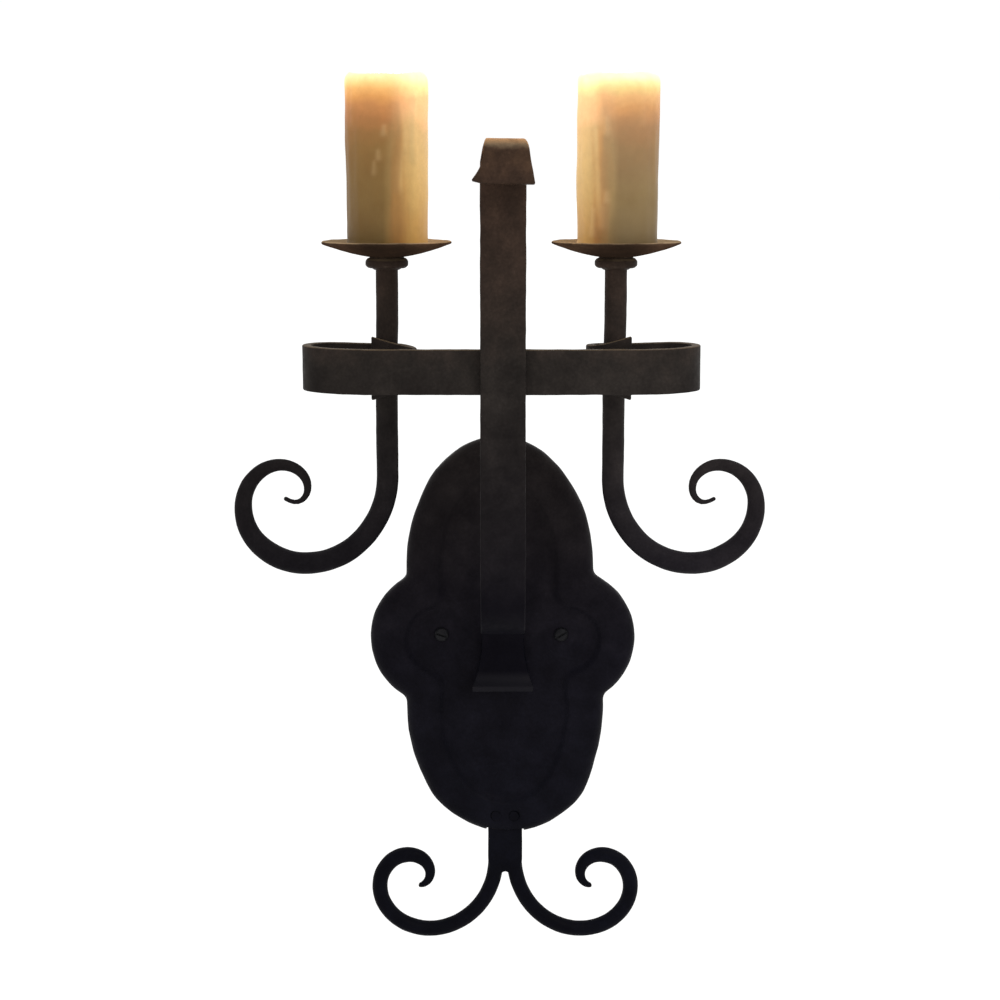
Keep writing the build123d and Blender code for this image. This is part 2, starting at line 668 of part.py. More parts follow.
with BuildPart() as wall_screws:
    for x in (-SCREW_X, SCREW_X):
        with BuildSketch(Plane(origin=(x, 0, 0), x_dir=(1, 0, 0), z_dir=(0, 0, 1))):
            with BuildLine():
                head_rim = -SUNK_REACH - SCREW_HEAD_RIM
                Polyline(
                    (0, SCREW_GRIP),
                    (SCREW_THREAD_RADIUS, SCREW_GRIP - SCREW_POINT),
                    (SCREW_THREAD_RADIUS, -SUNK_BACK + SCREW_NECK_END),
                    (SCREW_NECK_RADIUS, -SUNK_BACK + SCREW_NECK_END),
                    (SCREW_NECK_RADIUS, -SUNK_REACH),
                    (SCREW_HEAD_RADIUS, -SUNK_REACH),
                    (SCREW_HEAD_RADIUS, head_rim),
                )
                RadiusArc(
                    (SCREW_HEAD_RADIUS, head_rim),
                    (0, head_rim - SCREW_HEAD_DOME),
                    dome_radius(SCREW_HEAD_RADIUS, SCREW_HEAD_DOME),
                )
                Line((0, head_rim - SCREW_HEAD_DOME), (0, SCREW_GRIP))
            make_face()
        revolve(axis=Axis((x, 0, 0), (0, 1, 0)))
        slot_floor = SUNK_REACH + SCREW_HEAD_RIM + SCREW_HEAD_DOME - SCREW_SLOT_DEPTH
        with BuildSketch(Plane.XZ.offset(slot_floor)):
            with Locations((x, 0)):
                Rectangle(3 * SCREW_HEAD_RADIUS, SCREW_SLOT_WIDTH)
        extrude(amount=2 * SCREW_SLOT_DEPTH, mode=Mode.SUBTRACT)
finish(wall_screws.part, "wall_screws")
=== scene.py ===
"""Looks of the forged wall sconce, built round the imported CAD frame.

All lengths are in metres. The wall is the plane Y = 0, the front faces -Y and +Z is up.
"""
import math

import bmesh
import bpy
import numpy as np
from mathutils import Matrix, Vector, noise


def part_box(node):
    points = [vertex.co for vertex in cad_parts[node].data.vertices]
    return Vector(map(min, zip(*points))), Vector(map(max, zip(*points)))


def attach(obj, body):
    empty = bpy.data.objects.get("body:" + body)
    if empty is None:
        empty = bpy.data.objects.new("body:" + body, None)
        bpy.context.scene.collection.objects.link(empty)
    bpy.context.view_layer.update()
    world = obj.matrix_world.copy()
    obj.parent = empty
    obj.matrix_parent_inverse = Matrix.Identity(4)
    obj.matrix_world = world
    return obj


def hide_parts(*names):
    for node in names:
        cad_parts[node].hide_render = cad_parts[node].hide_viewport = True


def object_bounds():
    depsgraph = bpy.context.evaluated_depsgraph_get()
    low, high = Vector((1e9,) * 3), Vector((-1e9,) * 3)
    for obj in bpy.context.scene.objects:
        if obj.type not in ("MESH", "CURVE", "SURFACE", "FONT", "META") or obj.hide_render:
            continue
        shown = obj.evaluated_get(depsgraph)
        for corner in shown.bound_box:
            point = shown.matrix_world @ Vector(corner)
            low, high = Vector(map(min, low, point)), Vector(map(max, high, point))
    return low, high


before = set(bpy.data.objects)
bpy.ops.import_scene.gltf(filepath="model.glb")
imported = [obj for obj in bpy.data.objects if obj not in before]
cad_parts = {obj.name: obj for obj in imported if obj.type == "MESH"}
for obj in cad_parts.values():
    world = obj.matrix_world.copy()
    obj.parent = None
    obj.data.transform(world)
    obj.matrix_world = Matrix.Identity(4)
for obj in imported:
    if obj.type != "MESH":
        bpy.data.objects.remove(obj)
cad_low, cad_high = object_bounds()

MM = 0.001
X = np.array([1.0, 0.0, 0.0])
Y = np.array([0.0, 1.0, 0.0])
Z = np.array([0.0, 0.0, 1.0])

# ---------------------------------------------------------------- places taken from the frame
SIDES = {"left": -1, "right": 1}


def box(node):
    low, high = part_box(node)
    return np.array(low), np.array(high)


def middle(node):
    low, high = box(node)
    return (low + high) / 2


ROD_X = middle("right_collar")[0]
ROD_REACH = -middle("right_collar")[1]  # from the wall to the middle of a rod
BAND_Z = middle("crossing_rivet")[2]
BAR_TOP = box("upright_bar")[1][2]
BAR_FOOT = box("upright_bar")[0][2]
PAN_SEAT = box("left_drip_pan")[0][2]
SUNK_REACH = -box("upright_bar")[1][1]  # from the wall to the plate's sunk middle, where the bar's foot lies
WICK_BASE = box("left_wick")[1][2] - 8.5 * MM  # where the wick comes out of the wax
FLAME_FOOT = WICK_BASE + 4.0 * MM
FLAME_HEIGHT = 11 * MM


# ---------------------------------------------------------------- mesh helpers
def smooth_step(share):
    share = np.clip(share, 0, 1)
    return share ** 2 * (3 - 2 * share)


def fade(distance, length):
    """1 up to a place, then falling evenly to 0 over this length."""
    return np.clip(1 - distance / length, 0, 1)


def bell(distance, width):
    """1 at a place, falling off smoothly on both sides of it."""
    return np.exp(-(distance / width) ** 2)


def skin(name, rings, loop=False):
    """Closed mesh over rings of points. The ends are closed with fans, or joined if it loops."""
    rings = np.asarray(rings)
    count, around = rings.shape[:2]
    verts = rings.reshape(-1, 3)
    first = np.arange(count if loop else count - 1)[:, None] * around
    here = np.arange(around)[None, :]
    after = (here + 1) % around
    second = (first + around) % (count * around)
    quads = np.stack([first + here, first + after, second + after, second + here], -1).reshape(-1, 4)
    faces = quads.tolist()
    if not loop:
        last = (count - 1) * around
        for base, turn in ((0, -1), (last, 1)):
            centre = len(verts)
            verts = np.vstack([verts, rings[0 if base == 0 else -1].mean(0)])
            for j in range(around):
                pair = (base + j, base + (j + 1) % around)
                faces.append([centre, *pair[::turn]])
    mesh = bpy.data.meshes.new(name)
    mesh.from_pydata(verts.tolist(), [], faces)
    return settled(name, mesh)


def settled(name, mesh):
    """Object for a finished mesh: welded, with its normals outwards and smooth shading."""
    bm = bmesh.new()
    bm.from_mesh(mesh)
    bmesh.ops.remove_doubles(bm, verts=bm.verts, dist=1e-6)
    bmesh.ops.recalc_face_normals(bm, faces=bm.faces)
    bm.to_mesh(mesh)
    bm.free()
    mesh.polygons.foreach_set("use_smooth", [True] * len(mesh.polygons))
    mesh.update()
    obj = bpy.data.objects.new(name, mesh)
    bpy.context.scene.collection.objects.link(obj)
    return obj


def points_of(obj):
    co = np.empty(len(obj.data.vertices) * 3)
    obj.data.vertices.foreach_get("co", co)
    return co.reshape(-1, 3)


def moved(obj, co):
    obj.data.vertices.foreach_set("co", co.ravel())
    obj.data.update()


def normals_of(obj):
    no = np.empty(len(obj.data.vertices) * 3)
    obj.data.vertex_normals.foreach_get("vector", no)
    return no.reshape(-1, 3)


DENT_RIM = 0.9  # a dent is flat beyond this share of its size
DENT_MEAN = 0.3  # its average depth, which leaves the surface where it was on the whole


def forged(obj, wave, wave_size, dent, dent_size, seed, keep=None):
    """Uneven surface of hammered metal: slow waves with shallow overlapping dents."""
    co = points_of(obj)
    no = normals_of(obj)
    shift = Vector((seed, 2 * seed, 3 * seed))
    lift = np.empty(len(co))
    for i, p in enumerate(co):
        v = Vector(p)
        slow = noise.noise(v / wave_size + shift)
        near = noise.voronoi(v / dent_size + shift)[0][0]
        lift[i] = wave * slow + dent * (min(near, DENT_RIM) ** 2 - DENT_MEAN)
    if keep is not None:
        lift *= keep(co)
    moved(obj, co + no * lift[:, None])


def remeshed(name, node, voxel, passes):
    """The CAD node's own shape as an even mesh with softened edges."""
    obj = bpy.data.objects.new(name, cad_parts[node].data.copy())
    obj.data.materials.clear()
    bpy.context.scene.collection.objects.link(obj)
    grid = obj.modifiers.new("grid", "REMESH")
    grid.mode = "VOXEL"
    grid.voxel_size = voxel
    soft = obj.modifiers.new("soft", "SMOOTH")
    soft.factor = 0.5
    soft.iterations = passes
    depsgraph = bpy.context.evaluated_depsgraph_get()
    mesh = bpy.data.meshes.new_from_object(obj.evaluated_get(depsgraph))
    bpy.data.objects.remove(obj)
    return settled(name, mesh)


# ---------------------------------------------------------------- paths and sections
def walk(start, heading, moves, step):
    """Even points along straight runs and arcs in a plane, with the heading at each.

    A move is (length,) or (radius, turn in degrees); a left turn is positive."""
    points = [np.array(start, float)]
    headings = [math.radians(heading)]
    for move in moves:
        turn = math.radians(move[1]) if len(move) == 2 else 0.0
        length = move[0] * abs(turn) if turn else move[0]
        count = max(2, round(length / step))
        half = turn / count / 2
        chord = length / count * (math.sin(half) / half if half else 1.0)
        for _ in range(count):
            angle = headings[-1] + half
            points.append(points[-1] + chord * np.array([math.cos(angle), math.sin(angle)]))
            headings.append(headings[-1] + 2 * half)
    return np.array(points), np.array(headings)


def lengths(points):
    return np.concatenate([[0], np.cumsum(np.linalg.norm(np.diff(points, axis=0), axis=1))])


def laid(point, heading, section, plane):
    """A section set square across a path: its first number goes off the plane, its second to the left."""
    origin, u, v, w = plane
    left = -math.sin(heading) * u + math.cos(heading) * v
    return origin + point[0] * u + point[1] * v + section[:, :1] * w + section[:, 1:] * left


def flat_section(low, high, thickness, bevel, cuts=9, corner=4):
    """Outline of a flat bar from low to high across, with rounded corners."""
    out = []
    half = thickness / 2
    corners = [(high - bevel, bevel - half, -90), (high - bevel, half - bevel, 0),
               (low + bevel, half - bevel, 90), (low + bevel, bevel - half, 180)]
    for number, (a, b, start) in enumerate(corners):
        for angle in np.radians(np.linspace(start, start + 90, corner + 1)):
            out.append((a + bevel * math.cos(angle), b + bevel * math.sin(angle)))
        ahead = corners[(number + 1) % 4]
        between = cuts if number % 2 else 2
        for share in np.arange(1, between) / between:
            edge_a = a + (ahead[0] - a) * share
            edge_b = b + (ahead[1] - b) * share
            push = math.radians(start + 90)
            out.append((edge_a + bevel * math.cos(push), edge_b + bevel * math.sin(push)))
    return np.array(out)


END_ANGLES = np.radians([30.0, 60.0, 90.0])


def flat_bar(name, path, plane, low, high, thickness, bevel):
    """Flat bar along a path; low, high and thickness are given at each of its points."""
    points, headings = path

    def ring(i, angle, way):
        inset = bevel * (1 - math.cos(angle))
        ahead = way * bevel * math.sin(angle) * np.array([math.cos(headings[i]), math.sin(headings[i])])
        section = flat_section(low[i] + inset, high[i] - inset, thickness[i] - 2 * inset,
                               max(bevel - inset, 0.15 * bevel))
        return laid(points[i] + ahead, headings[i], section, plane)

    last = len(points) - 1
    rings = [ring(0, a, -1) for a in END_ANGLES[::-1]]
    rings += [ring(i, 0.0, 0) for i in range(last + 1)]
    rings += [ring(last, a, 1) for a in END_ANGLES]
    return skin(name, rings)


TIP_ANGLES = np.radians([20.0, 40.0, 60.0, 78.0])


def round_rod(name, path, plane, radii, around=32):
    """Round bar along a path, with a ball tip at its far end."""
    points, headings = path
    angles = np.linspace(0, 2 * math.pi, around, endpoint=False)
    circle = np.stack([np.cos(angles), np.sin(angles)], 1)
    rings = [laid(p, h, circle * r, plane) for p, h, r in zip(points, headings, radii)]
    way = np.array([math.cos(headings[-1]), math.sin(headings[-1])])
    for angle in TIP_ANGLES:
        tip = points[-1] + way * radii[-1] * math.sin(angle)
        rings.append(laid(tip, headings[-1], circle * radii[-1] * math.cos(angle), plane))
    return skin(name, rings)


def scroll_moves(start, vanish, power, turn, arcs):
    """Arcs that tighten as they turn."""
    step = turn / arcs
    return [(start * (1 - (i + 0.5) * step / vanish) ** power, step) for i in range(arcs)]


def turned_radii(headings, full, tip, taper_from, power):
    """Radius of a drawn-out rod at each point, from how far it has turned by there."""
    turned = np.degrees(np.abs(headings - headings[0]))
    return tip + (full - tip) * fade(turned - taper_from, turned[-1] - taper_from) ** power


CORNER_LIMIT = 2.05  # a rounded corner takes just under half of each of its sides


def rounded(outline, radius, cuts=4):
    """Polygon with each corner rounded; its first and last points stay."""
    outline = [np.array(p, float) for p in outline]
    out = [outline[0]]
    for before, corner, after in zip(outline, outline[1:], outline[2:]):
        back, ahead = before - corner, after - corner
        reach = min(radius, np.linalg.norm(back) / CORNER_LIMIT, np.linalg.norm(ahead) / CORNER_LIMIT)
        a = corner + back / np.linalg.norm(back) * reach
        b = corner + ahead / np.linalg.norm(ahead) * reach
        for t in np.linspace(0, 1, cuts + 1):
            out.append((1 - t) ** 2 * a + 2 * t * (1 - t) * corner + t ** 2 * b)
    return out + [outline[-1]]


def dense(outline, step):
    """The same outline with its long edges cut into steps."""
    out = [np.array(outline[0], float)]
    for a, b in zip(outline, outline[1:]):
        a, b = np.array(a, float), np.array(b, float)
        count = max(1, math.ceil(np.linalg.norm(b - a) / step))
        out += [a + (b - a) * i / count for i in range(1, count + 1)]
    return np.array(out)


def lathed(name, outline, centre, axis, around, loop=False):
    """Round piece from (radius, height) points about an axis."""
    side = X if abs(axis[0]) < 0.5 else Y
    other = np.cross(axis, side)
    angles = np.linspace(0, 2 * math.pi, around, endpoint=False)
    spokes = np.cos(angles)[:, None] * side + np.sin(angles)[:, None] * other
    rings = [centre + r * spokes + h * axis for r, h in outline]
    return skin(name, rings, loop)


# ---------------------------------------------------------------- materials
MIX_A, MIX_B, MIX_RESULT = 6, 7, 2  # colour sockets of the Mix node


class Shader:
    """A node material under construction."""

    def __init__(self, name, **sockets):
        self.material = bpy.data.materials.new(name)
        self.material.use_nodes = True
        self.tree = self.material.node_tree
        self.surface = self.tree.nodes["Principled BSDF"]
        for socket, value in sockets.items():
            self.set(socket, value)
        self.place = self.node("TexCoord").outputs["Object"]
        apart = self.node("SeparateXYZ", Vector=self.place)
        self.x, self.y, self.z = apart.outputs

    def set(self, socket, value):
        self.feed(self.surface.inputs[socket.replace("_", " ")], value)

    def feed(self, socket, value):
        if isinstance(value, bpy.types.NodeSocket):
            self.tree.links.new(value, socket)
        else:
            socket.default_value = value

    def node(self, kind, settings=None, **inputs):
        made = self.tree.nodes.new("ShaderNode" + kind)
        for key, value in (settings or {}).items():
            setattr(made, key, value)
        for key, value in inputs.items():
            self.feed(made.inputs[key.replace("_", " ")], value)
        return made

    def math(self, operation, *values):
        made = self.node("Math", {"operation": operation})
        for socket, value in zip(made.inputs, values):
            self.feed(socket, value)
        return made.outputs[0]

    def swing(self, noise_value, size):
        """A noise as a number that swings this much in all, about zero."""
        return self.math("MULTIPLY", self.math("SUBTRACT", noise_value, 0.5), size)

    def noise(self, size, detail=3.0, roughness=0.5, vector=None):
        """Noise whose features are about this many metres across."""
        made = self.node("TexNoise", Vector=vector or self.place, Scale=1 / size, Detail=detail,
                         Roughness=roughness)
        return made.outputs["Fac"]

    def ramp(self, factor, *stops):
        """Colours or numbers at places from 0 to 1."""
        made = self.node("ValToRGB", Fac=factor)
        elements = made.color_ramp.elements
        elements[0].position, elements[1].position = stops[0][0], stops[-1][0]
        for place, _ in stops[1:-1]:
            elements.new(place)
        for element, (_, value) in zip(elements, stops):
            value = (value,) * 3 if isinstance(value, (int, float)) else value
            element.color = (*value, 1.0)
        return made.outputs["Color"]

    def blend(self, factor, a, b, kind="MIX"):
        made = self.node("Mix", {"data_type": "RGBA", "blend_type": kind})
        self.feed(made.inputs["Factor"], factor)
        self.feed(made.inputs[MIX_A], a)
        self.feed(made.inputs[MIX_B], b)
        return made.outputs[MIX_RESULT]

    def times(self, a, b, share=1.0):
        """A colour multiplied by another one, or by this share of it."""
        return self.blend(share, a, b, "MULTIPLY")

    def span(self, value, low, high, out_low=0.0, out_high=1.0):
        """Goes smoothly from one number to another while the value goes from low to high."""
        made = self.node("MapRange", {"clamp": True, "interpolation_type": "SMOOTHSTEP"})
        for socket, number in zip(made.inputs, (value, low, high, out_low, out_high)):
            self.feed(socket, number)
        return made.outputs[0]

    def bump(self, height, distance, strength=1.0):
        made = self.node("Bump", Height=height, Distance=distance, Strength=strength)
        self.set("Normal", made.outputs["Normal"])


# painted candle light: colour of the iron, brown and lighter towards the top where the candles light it, from
# 0.2 m below the screws (0) to 0.33 m above them (1)
IRON_LOW, IRON_HIGH = -0.2, 0.33
IRON_CANDLELIT_BY_HEIGHT = ((0.1, (0.0022, 0.0026, 0.0048)), (0.36, (0.0036, 0.0036, 0.0060)),
                  (0.43, (0.0052, 0.0048, 0.0070)), (0.575, (0.0095, 0.0082, 0.0088)),
                  (0.70, (0.0170, 0.0143, 0.0128)), (0.896, (0.0335, 0.0200, 0.0140)),
                  (0.935, (0.0430, 0.0245, 0.0150)), (0.975, (0.0720, 0.0450, 0.0290)))
NO_TINT = (1.0, 1.0, 1.0, 1.0)
WORN_EDGE = (0.05, 0.038, 0.028, 1.0)
# tan of spilled wax and dust, also standing in as painted candle light on up-facing faces
WAX_FILM_AND_GLOW = (0.33, 0.235, 0.14, 1.0)
# painted shadow in the middle of a pan, round its collar
PAINTED_PAN_SHADOW = (0.006, 0.0045, 0.0035, 1.0)
# painted shade on the bar's sweep, where it turns down and away from the light
SHADE_UNDER_BEND = (0.0014, 0.0014, 0.0034, 1.0)
# painted highlight on the toe's rolled lip
TOE_HIGHLIGHT = (0.0135, 0.013, 0.016, 1.0)
SWEEP_TOP = 43.5 * MM  # where the upright bar starts to sweep back to the plate


def bare_iron(s, blotch, grain, painted_light_gain):
    """Painted candle light: brown and lighter towards the top, where the candles light it, and blue-black
    lower down; painted light from the right makes it lighter on that side; blotched, grained and worn at its
    edges.
    """
    height = s.math("ADD", s.z, s.swing(blotch, 0.06))
    height = s.math("DIVIDE", s.math("SUBTRACT", height, IRON_LOW), IRON_HIGH - IRON_LOW)
    colour = s.times(s.ramp(height, *IRON_CANDLELIT_BY_HEIGHT), painted_light_gain)
    colour = s.times(colour, s.ramp(blotch, (0.3, 0.78), (0.5, 1.0), (0.72, 1.28)))
    # painted light from the right: the iron grows lighter towards +X
    painted_right_light = s.span(s.math("ADD", s.x, s.swing(blotch, 0.1)), -0.1, 0.1, 0.94, 1.2)
    colour = s.times(colour, s.node("CombineColor", Red=painted_right_light, Green=painted_right_light, Blue=painted_right_light).outputs[0])
    colour = s.times(colour, s.ramp(grain, (0.35, 0.8), (0.62, 1.15), (0.75, 1.5)), 0.6)
    edge = s.span(s.node("NewGeometry").outputs["Pointiness"], 0.52, 0.62)
    return s.blend(s.math("MULTIPLY", s.math("MULTIPLY", edge, s.span(blotch, 0.35, 0.65)), 0.8), colour,
                   WORN_EDGE)


def film_and_glow_on_tops(s, colour):
    """The same colour with a tan film on what looks up, partly spilled wax and dust and partly painted candle
    light: the pans, less on the lip and the band.
    """
    pans = s.span(s.z, PAN_SEAT - 3.3 * MM, PAN_SEAT + 4.7 * MM)
    band = s.span(s.z, BAND_Z + 3.5 * MM, BAND_Z + 12.5 * MM, 0.0, 0.22)
    lip = s.span(s.z, BAR_TOP - 37 * MM, BAR_TOP - 17 * MM, 1.0, 0.42)
    patchy = s.noise(7 * MM, 3.0, 0.6)
    up = s.node("SeparateXYZ", Vector=s.node("NewGeometry").outputs["Normal"]).outputs["Z"]
    up = s.span(s.math("ADD", up, s.swing(patchy, 0.5)), 0.35, 0.8)
    film_and_glow = s.math("MULTIPLY", up, s.span(patchy, 0.2, 0.5, 0.55, 0.95))
    near = s.math("MULTIPLY", s.math("MAXIMUM", pans, band), lip)
    return s.blend(s.math("MULTIPLY", film_and_glow, near), colour, WAX_FILM_AND_GLOW)


def iron_material(name, gloss=0.03, painted_light_gain=NO_TINT, pan_shadow=0.0, toe=0.0):
    """Hand-forged iron under dark wax.

    Painted shadow darkens the middle of a pan, round its collar, by its share. The bar's toe gets a painted
    highlight by its share, and the bend above it gets painted shade. The painted light gain gives lighter
    copies of the iron."""
    s = Shader(name, Metallic=0.0, Specular_IOR_Level=gloss, Specular_Tint=(1.0, 0.82, 0.7, 1.0))
    blotch = s.noise(16 * MM, 4.0, 0.6)
    grain = s.noise(1.6 * MM, 3.0, 0.6)
    colour = film_and_glow_on_tops(s, bare_iron(s, blotch, grain, painted_light_gain))
    if toe:
        # painted shade: the bar darker from its sweep down to the toe
        shade_under_bend = s.span(s.z, SWEEP_TOP - 15.5 * MM, SWEEP_TOP + 16.5 * MM, 0.6, 0.0)
        colour = s.blend(shade_under_bend, colour, SHADE_UNDER_BEND)
        # painted highlight: the toe's lip lighter where light catches it
        toe_light = s.math("MULTIPLY", s.span(s.z, BAR_FOOT - 5.3 * MM, BAR_FOOT + 0.7 * MM),
                       s.span(s.z, BAR_FOOT + 8.2 * MM, BAR_FOOT + 13.7 * MM, toe, 0.0))
        colour = s.blend(toe_light, colour, TOE_HIGHLIGHT)
    if pan_shadow:
        # painted shadow: the pan darker near its rod
        off_axis = s.math("ABSOLUTE", s.math("SUBTRACT", s.math("ABSOLUTE", s.x), ROD_X))
        colour = s.blend(s.span(off_axis, 9 * MM, 26 * MM, pan_shadow, 0.0), colour, PAINTED_PAN_SHADOW)
    s.set("Base_Color", colour)
    s.set("Roughness", s.ramp(s.noise(5 * MM, 3.0, 0.6), (0.3, 0.42), (0.7, 0.62)))
    scale = s.noise(2.4 * MM, 5.0, 0.65)
    s.bump(s.math("ADD", scale, s.math("MULTIPLY", grain, 0.4)), 0.12 * MM, 0.5)
    return s.material


# painted glow of a candle, as emission standing in for its flame's light in the wax, from its top (0) down to
# its foot (1), on the side away from the other candle
SHADED_GLOW = {
    "left": ((0.0, (1.0, 1.0, 0.60)), (0.03, (0.90, 0.88, 0.42)), (0.06, (0.88, 0.66, 0.25)),
             (0.095, (0.84, 0.42, 0.135)), (0.14, (0.64, 0.265, 0.075)), (0.19, (0.44, 0.157, 0.052)),
             (0.25, (0.29, 0.095, 0.032)), (0.33, (0.165, 0.06, 0.017)), (0.43, (0.106, 0.042, 0.009)),
             (0.55, (0.072, 0.029, 0.006)), (0.70, (0.044, 0.016, 0.002)), (0.84, (0.025, 0.007, 0.0)),
             (1.0, (0.0, 0.0, 0.0))),
    "right": ((0.0, (1.0, 1.0, 0.78)), (0.03, (0.92, 0.92, 0.66)), (0.06, (0.88, 0.84, 0.38)),
              (0.095, (0.84, 0.60, 0.22)), (0.14, (0.73, 0.38, 0.145)), (0.19, (0.54, 0.235, 0.08)),
              (0.25, (0.37, 0.153, 0.058)), (0.33, (0.23, 0.095, 0.039)), (0.43, (0.15, 0.073, 0.03)),
              (0.55, (0.105, 0.056, 0.023)), (0.70, (0.076, 0.047, 0.015)), (0.84, (0.048, 0.031, 0.011)),
              (1.0, (0.01, 0.008, 0.004))),
}
# the same on the side that faces the other candle, with that candle's light painted on as well
LIT_GLOW = ((0.0, (1.0, 1.0, 0.75)), (0.05, (1.0, 1.0, 0.52)), (0.09, (0.95, 0.74, 0.34)),
            (0.14, (0.93, 0.49, 0.245)), (0.19, (0.84, 0.455, 0.235)), (0.25, (0.71, 0.43, 0.22)),
            (0.33, (0.48, 0.345, 0.165)), (0.43, (0.48, 0.345, 0.155)), (0.55, (0.485, 0.335, 0.138)),
            (0.69, (0.465, 0.295, 0.108)), (0.84, (0.385, 0.213, 0.066)), (1.0, (0.28, 0.145, 0.036)))
# dark and pale wax colour of each candle; the right candle's copy is lighter, as painted light from the right
WAX_BASE = {
    "left": ((0.110, 0.068, 0.020), (0.138, 0.088, 0.028)),
    "right": ((0.134, 0.090, 0.040), (0.164, 0.113, 0.052)),
}
# where the amber band of painted light between the lit and the shaded side runs, as a share of the radius
# towards the middle
LIT_EDGE = {"left": 0.31, "right": 0.38}
LIT_EDGE_TINT = (0.84, 0.57, 0.43, 1.0)
# painted highlight on the drips of wax
DRIP_HIGHLIGHT = (0.95, 0.68, 0.36, 1.0)


def wax_material(side_name, axis_x, low, high):
    """Wax pillar with painted glow: emission stands in for the flame's light in the wax, most at the rim, and
    for the other candle's light on the inner side.
    """
    s = Shader(f"{side_name}_wax", Roughness=0.5, Specular_IOR_Level=0.16)
    marble = s.noise(14 * MM, 3.0, 0.5)
    streak = s.noise(9 * MM, 2.0, 0.5, s.node("Mapping", Vector=s.place, Scale=(1.0, 1.0, 0.16)).outputs[0])
    curd = s.noise(4.5 * MM, 3.0, 0.6)
    pores = s.noise(1.3 * MM, 3.0, 0.6)

    down = s.math("DIVIDE", s.math("SUBTRACT", high, s.z), high - low)
    down = s.math("ADD", down, s.swing(marble, s.span(down, 0.03, 0.3, 0.03, 0.16)))
    inner = s.math("MULTIPLY", s.math("SUBTRACT", s.x, axis_x), -SIDES[side_name] / PILLAR_RADIUS)
    inner = s.math("ADD", inner, s.swing(streak, 0.55))
    glow = s.blend(s.span(inner, -0.12, 0.88), s.ramp(down, *SHADED_GLOW[side_name]),
                   s.ramp(down, *LIT_GLOW))
    at = LIT_EDGE[side_name]
    # painted amber band where the painted light meets the painted shade
    lit_edge = s.math("MULTIPLY", s.span(inner, at - 0.22, at - 0.02),
                  s.span(inner, at + 0.02, at + 0.28, 1.0, 0.0))
    lit_edge = s.math("MULTIPLY", lit_edge, s.span(down, 0.22, 0.42, 0.0, 0.9))
    glow = s.times(glow, LIT_EDGE_TINT, lit_edge)
    glow = s.times(glow, s.ramp(curd, (0.3, 0.93), (0.7, 1.07)))
    drip_light = s.node("Attribute", {"attribute_name": "drip_highlight"}).outputs["Fac"]
    # painted highlight on the drips
    glow = s.blend(s.math("MULTIPLY", drip_light, 0.34), glow, DRIP_HIGHLIGHT)
    s.set("Emission_Color", glow)
    s.set("Emission_Strength", 1.0)
    dark, pale = WAX_BASE[side_name]
    s.set("Base_Color", s.ramp(marble, (0.3, dark), (0.7, pale)))
    s.bump(s.math("ADD", pores, s.math("MULTIPLY", streak, 1.5)), 0.1 * MM, 0.35)
    return s.material


def wick_material():
    """Charred fibre that still glows inside the flame."""
    s = Shader("charred_wick", Roughness=0.9, Specular_IOR_Level=0.1)
    fibre = s.noise(0.5 * MM, 3.0, 0.6)
    s.set("Base_Color", s.ramp(fibre, (0.3, (0.012, 0.01, 0.009)), (0.7, (0.05, 0.04, 0.032))))
    tip = s.span(s.z, FLAME_FOOT + 1.5 * MM, FLAME_FOOT + 4 * MM)
    s.set("Emission_Color", s.blend(tip, (0.0, 0.0, 0.0, 1.0), (1.0, 0.22, 0.03, 1.0)))
    s.set("Emission_Strength", 1.0)
    s.bump(fibre, 0.15 * MM, 0.6)
    return s.material


def flame_material():
    """Blue at its foot, then orange and pale yellow."""
    s = Shader("flame", Roughness=1.0, Specular_IOR_Level=0.0)
    up = s.math("DIVIDE", s.math("SUBTRACT", s.z, FLAME_FOOT), FLAME_HEIGHT)
    flicker = s.math("ADD", up, s.swing(s.noise(3 * MM), 0.12))
    s.set("Base_Color", s.ramp(flicker, (0.0, (0.1, 0.08, 0.12)), (1.0, (0.9, 0.6, 0.2))))
    s.set("Emission_Color", s.ramp(flicker, (0.0, (0.10, 0.12, 0.45)), (0.2, (1.0, 0.45, 0.1)),
                                   (0.5, (1.0, 0.85, 0.4)), (1.0, (1.0, 0.95, 0.7))))
    s.set("Emission_Strength", 2.5)
    return s.material


def screw_material():
    s = Shader("blackened_steel", Metallic=0.0, Specular_IOR_Level=0.1)
    rub = s.noise(2 * MM, 4.0, 0.6)
    s.set("Base_Color", s.ramp(rub, (0.35, (0.0035, 0.0035, 0.005)), (0.7, (0.009, 0.0085, 0.0095))))
    s.set("Roughness", s.ramp(rub, (0.3, 0.35), (0.7, 0.55)))
    s.bump(s.noise(0.8 * MM, 3.0), 0.05 * MM, 0.4)
    return s.material


def floor_material():
    s = Shader("pale_floor", Roughness=0.9, Specular_IOR_Level=0.1)
    s.set("Base_Color", s.ramp(s.noise(0.4, 2.0), (0.0, (0.90, 0.90, 0.895)), (1.0, (0.93, 0.93, 0.925))))
    return s.material


def dressed(obj, material, body, slot, *nodes):
    """Gives a finished piece its material, its body and the CAD nodes that it stands for."""
    obj.data.materials.clear()
    obj.data.materials.append(material)
    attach(obj, body)
    if nodes:
        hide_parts(*nodes)


# ---------------------------------------------------------------- sizes and looks shared by several pieces
ROD_RADIUS = 6.35 * MM
FLAT_HALF = 12.7 * MM
BAR_THICKNESS = 6.35 * MM
BAND_THICKNESS = 5.0 * MM
PILLAR_RADIUS = 24 * MM

iron = iron_material("forged_iron")
# lighter copy of the iron for the plate, as painted light
plate_iron = iron_material("plate_iron", painted_light_gain=(1.25, 1.2, 1.15, 1.0))
bar_iron = iron_material("bar_iron", toe=0.6)
# the right arm's iron is a lighter copy, as painted light from the right
arm_iron = {"left": iron, "right": iron_material("right_arm_iron_painted_light", painted_light_gain=(1.3, 1.28, 1.28, 1.0))}
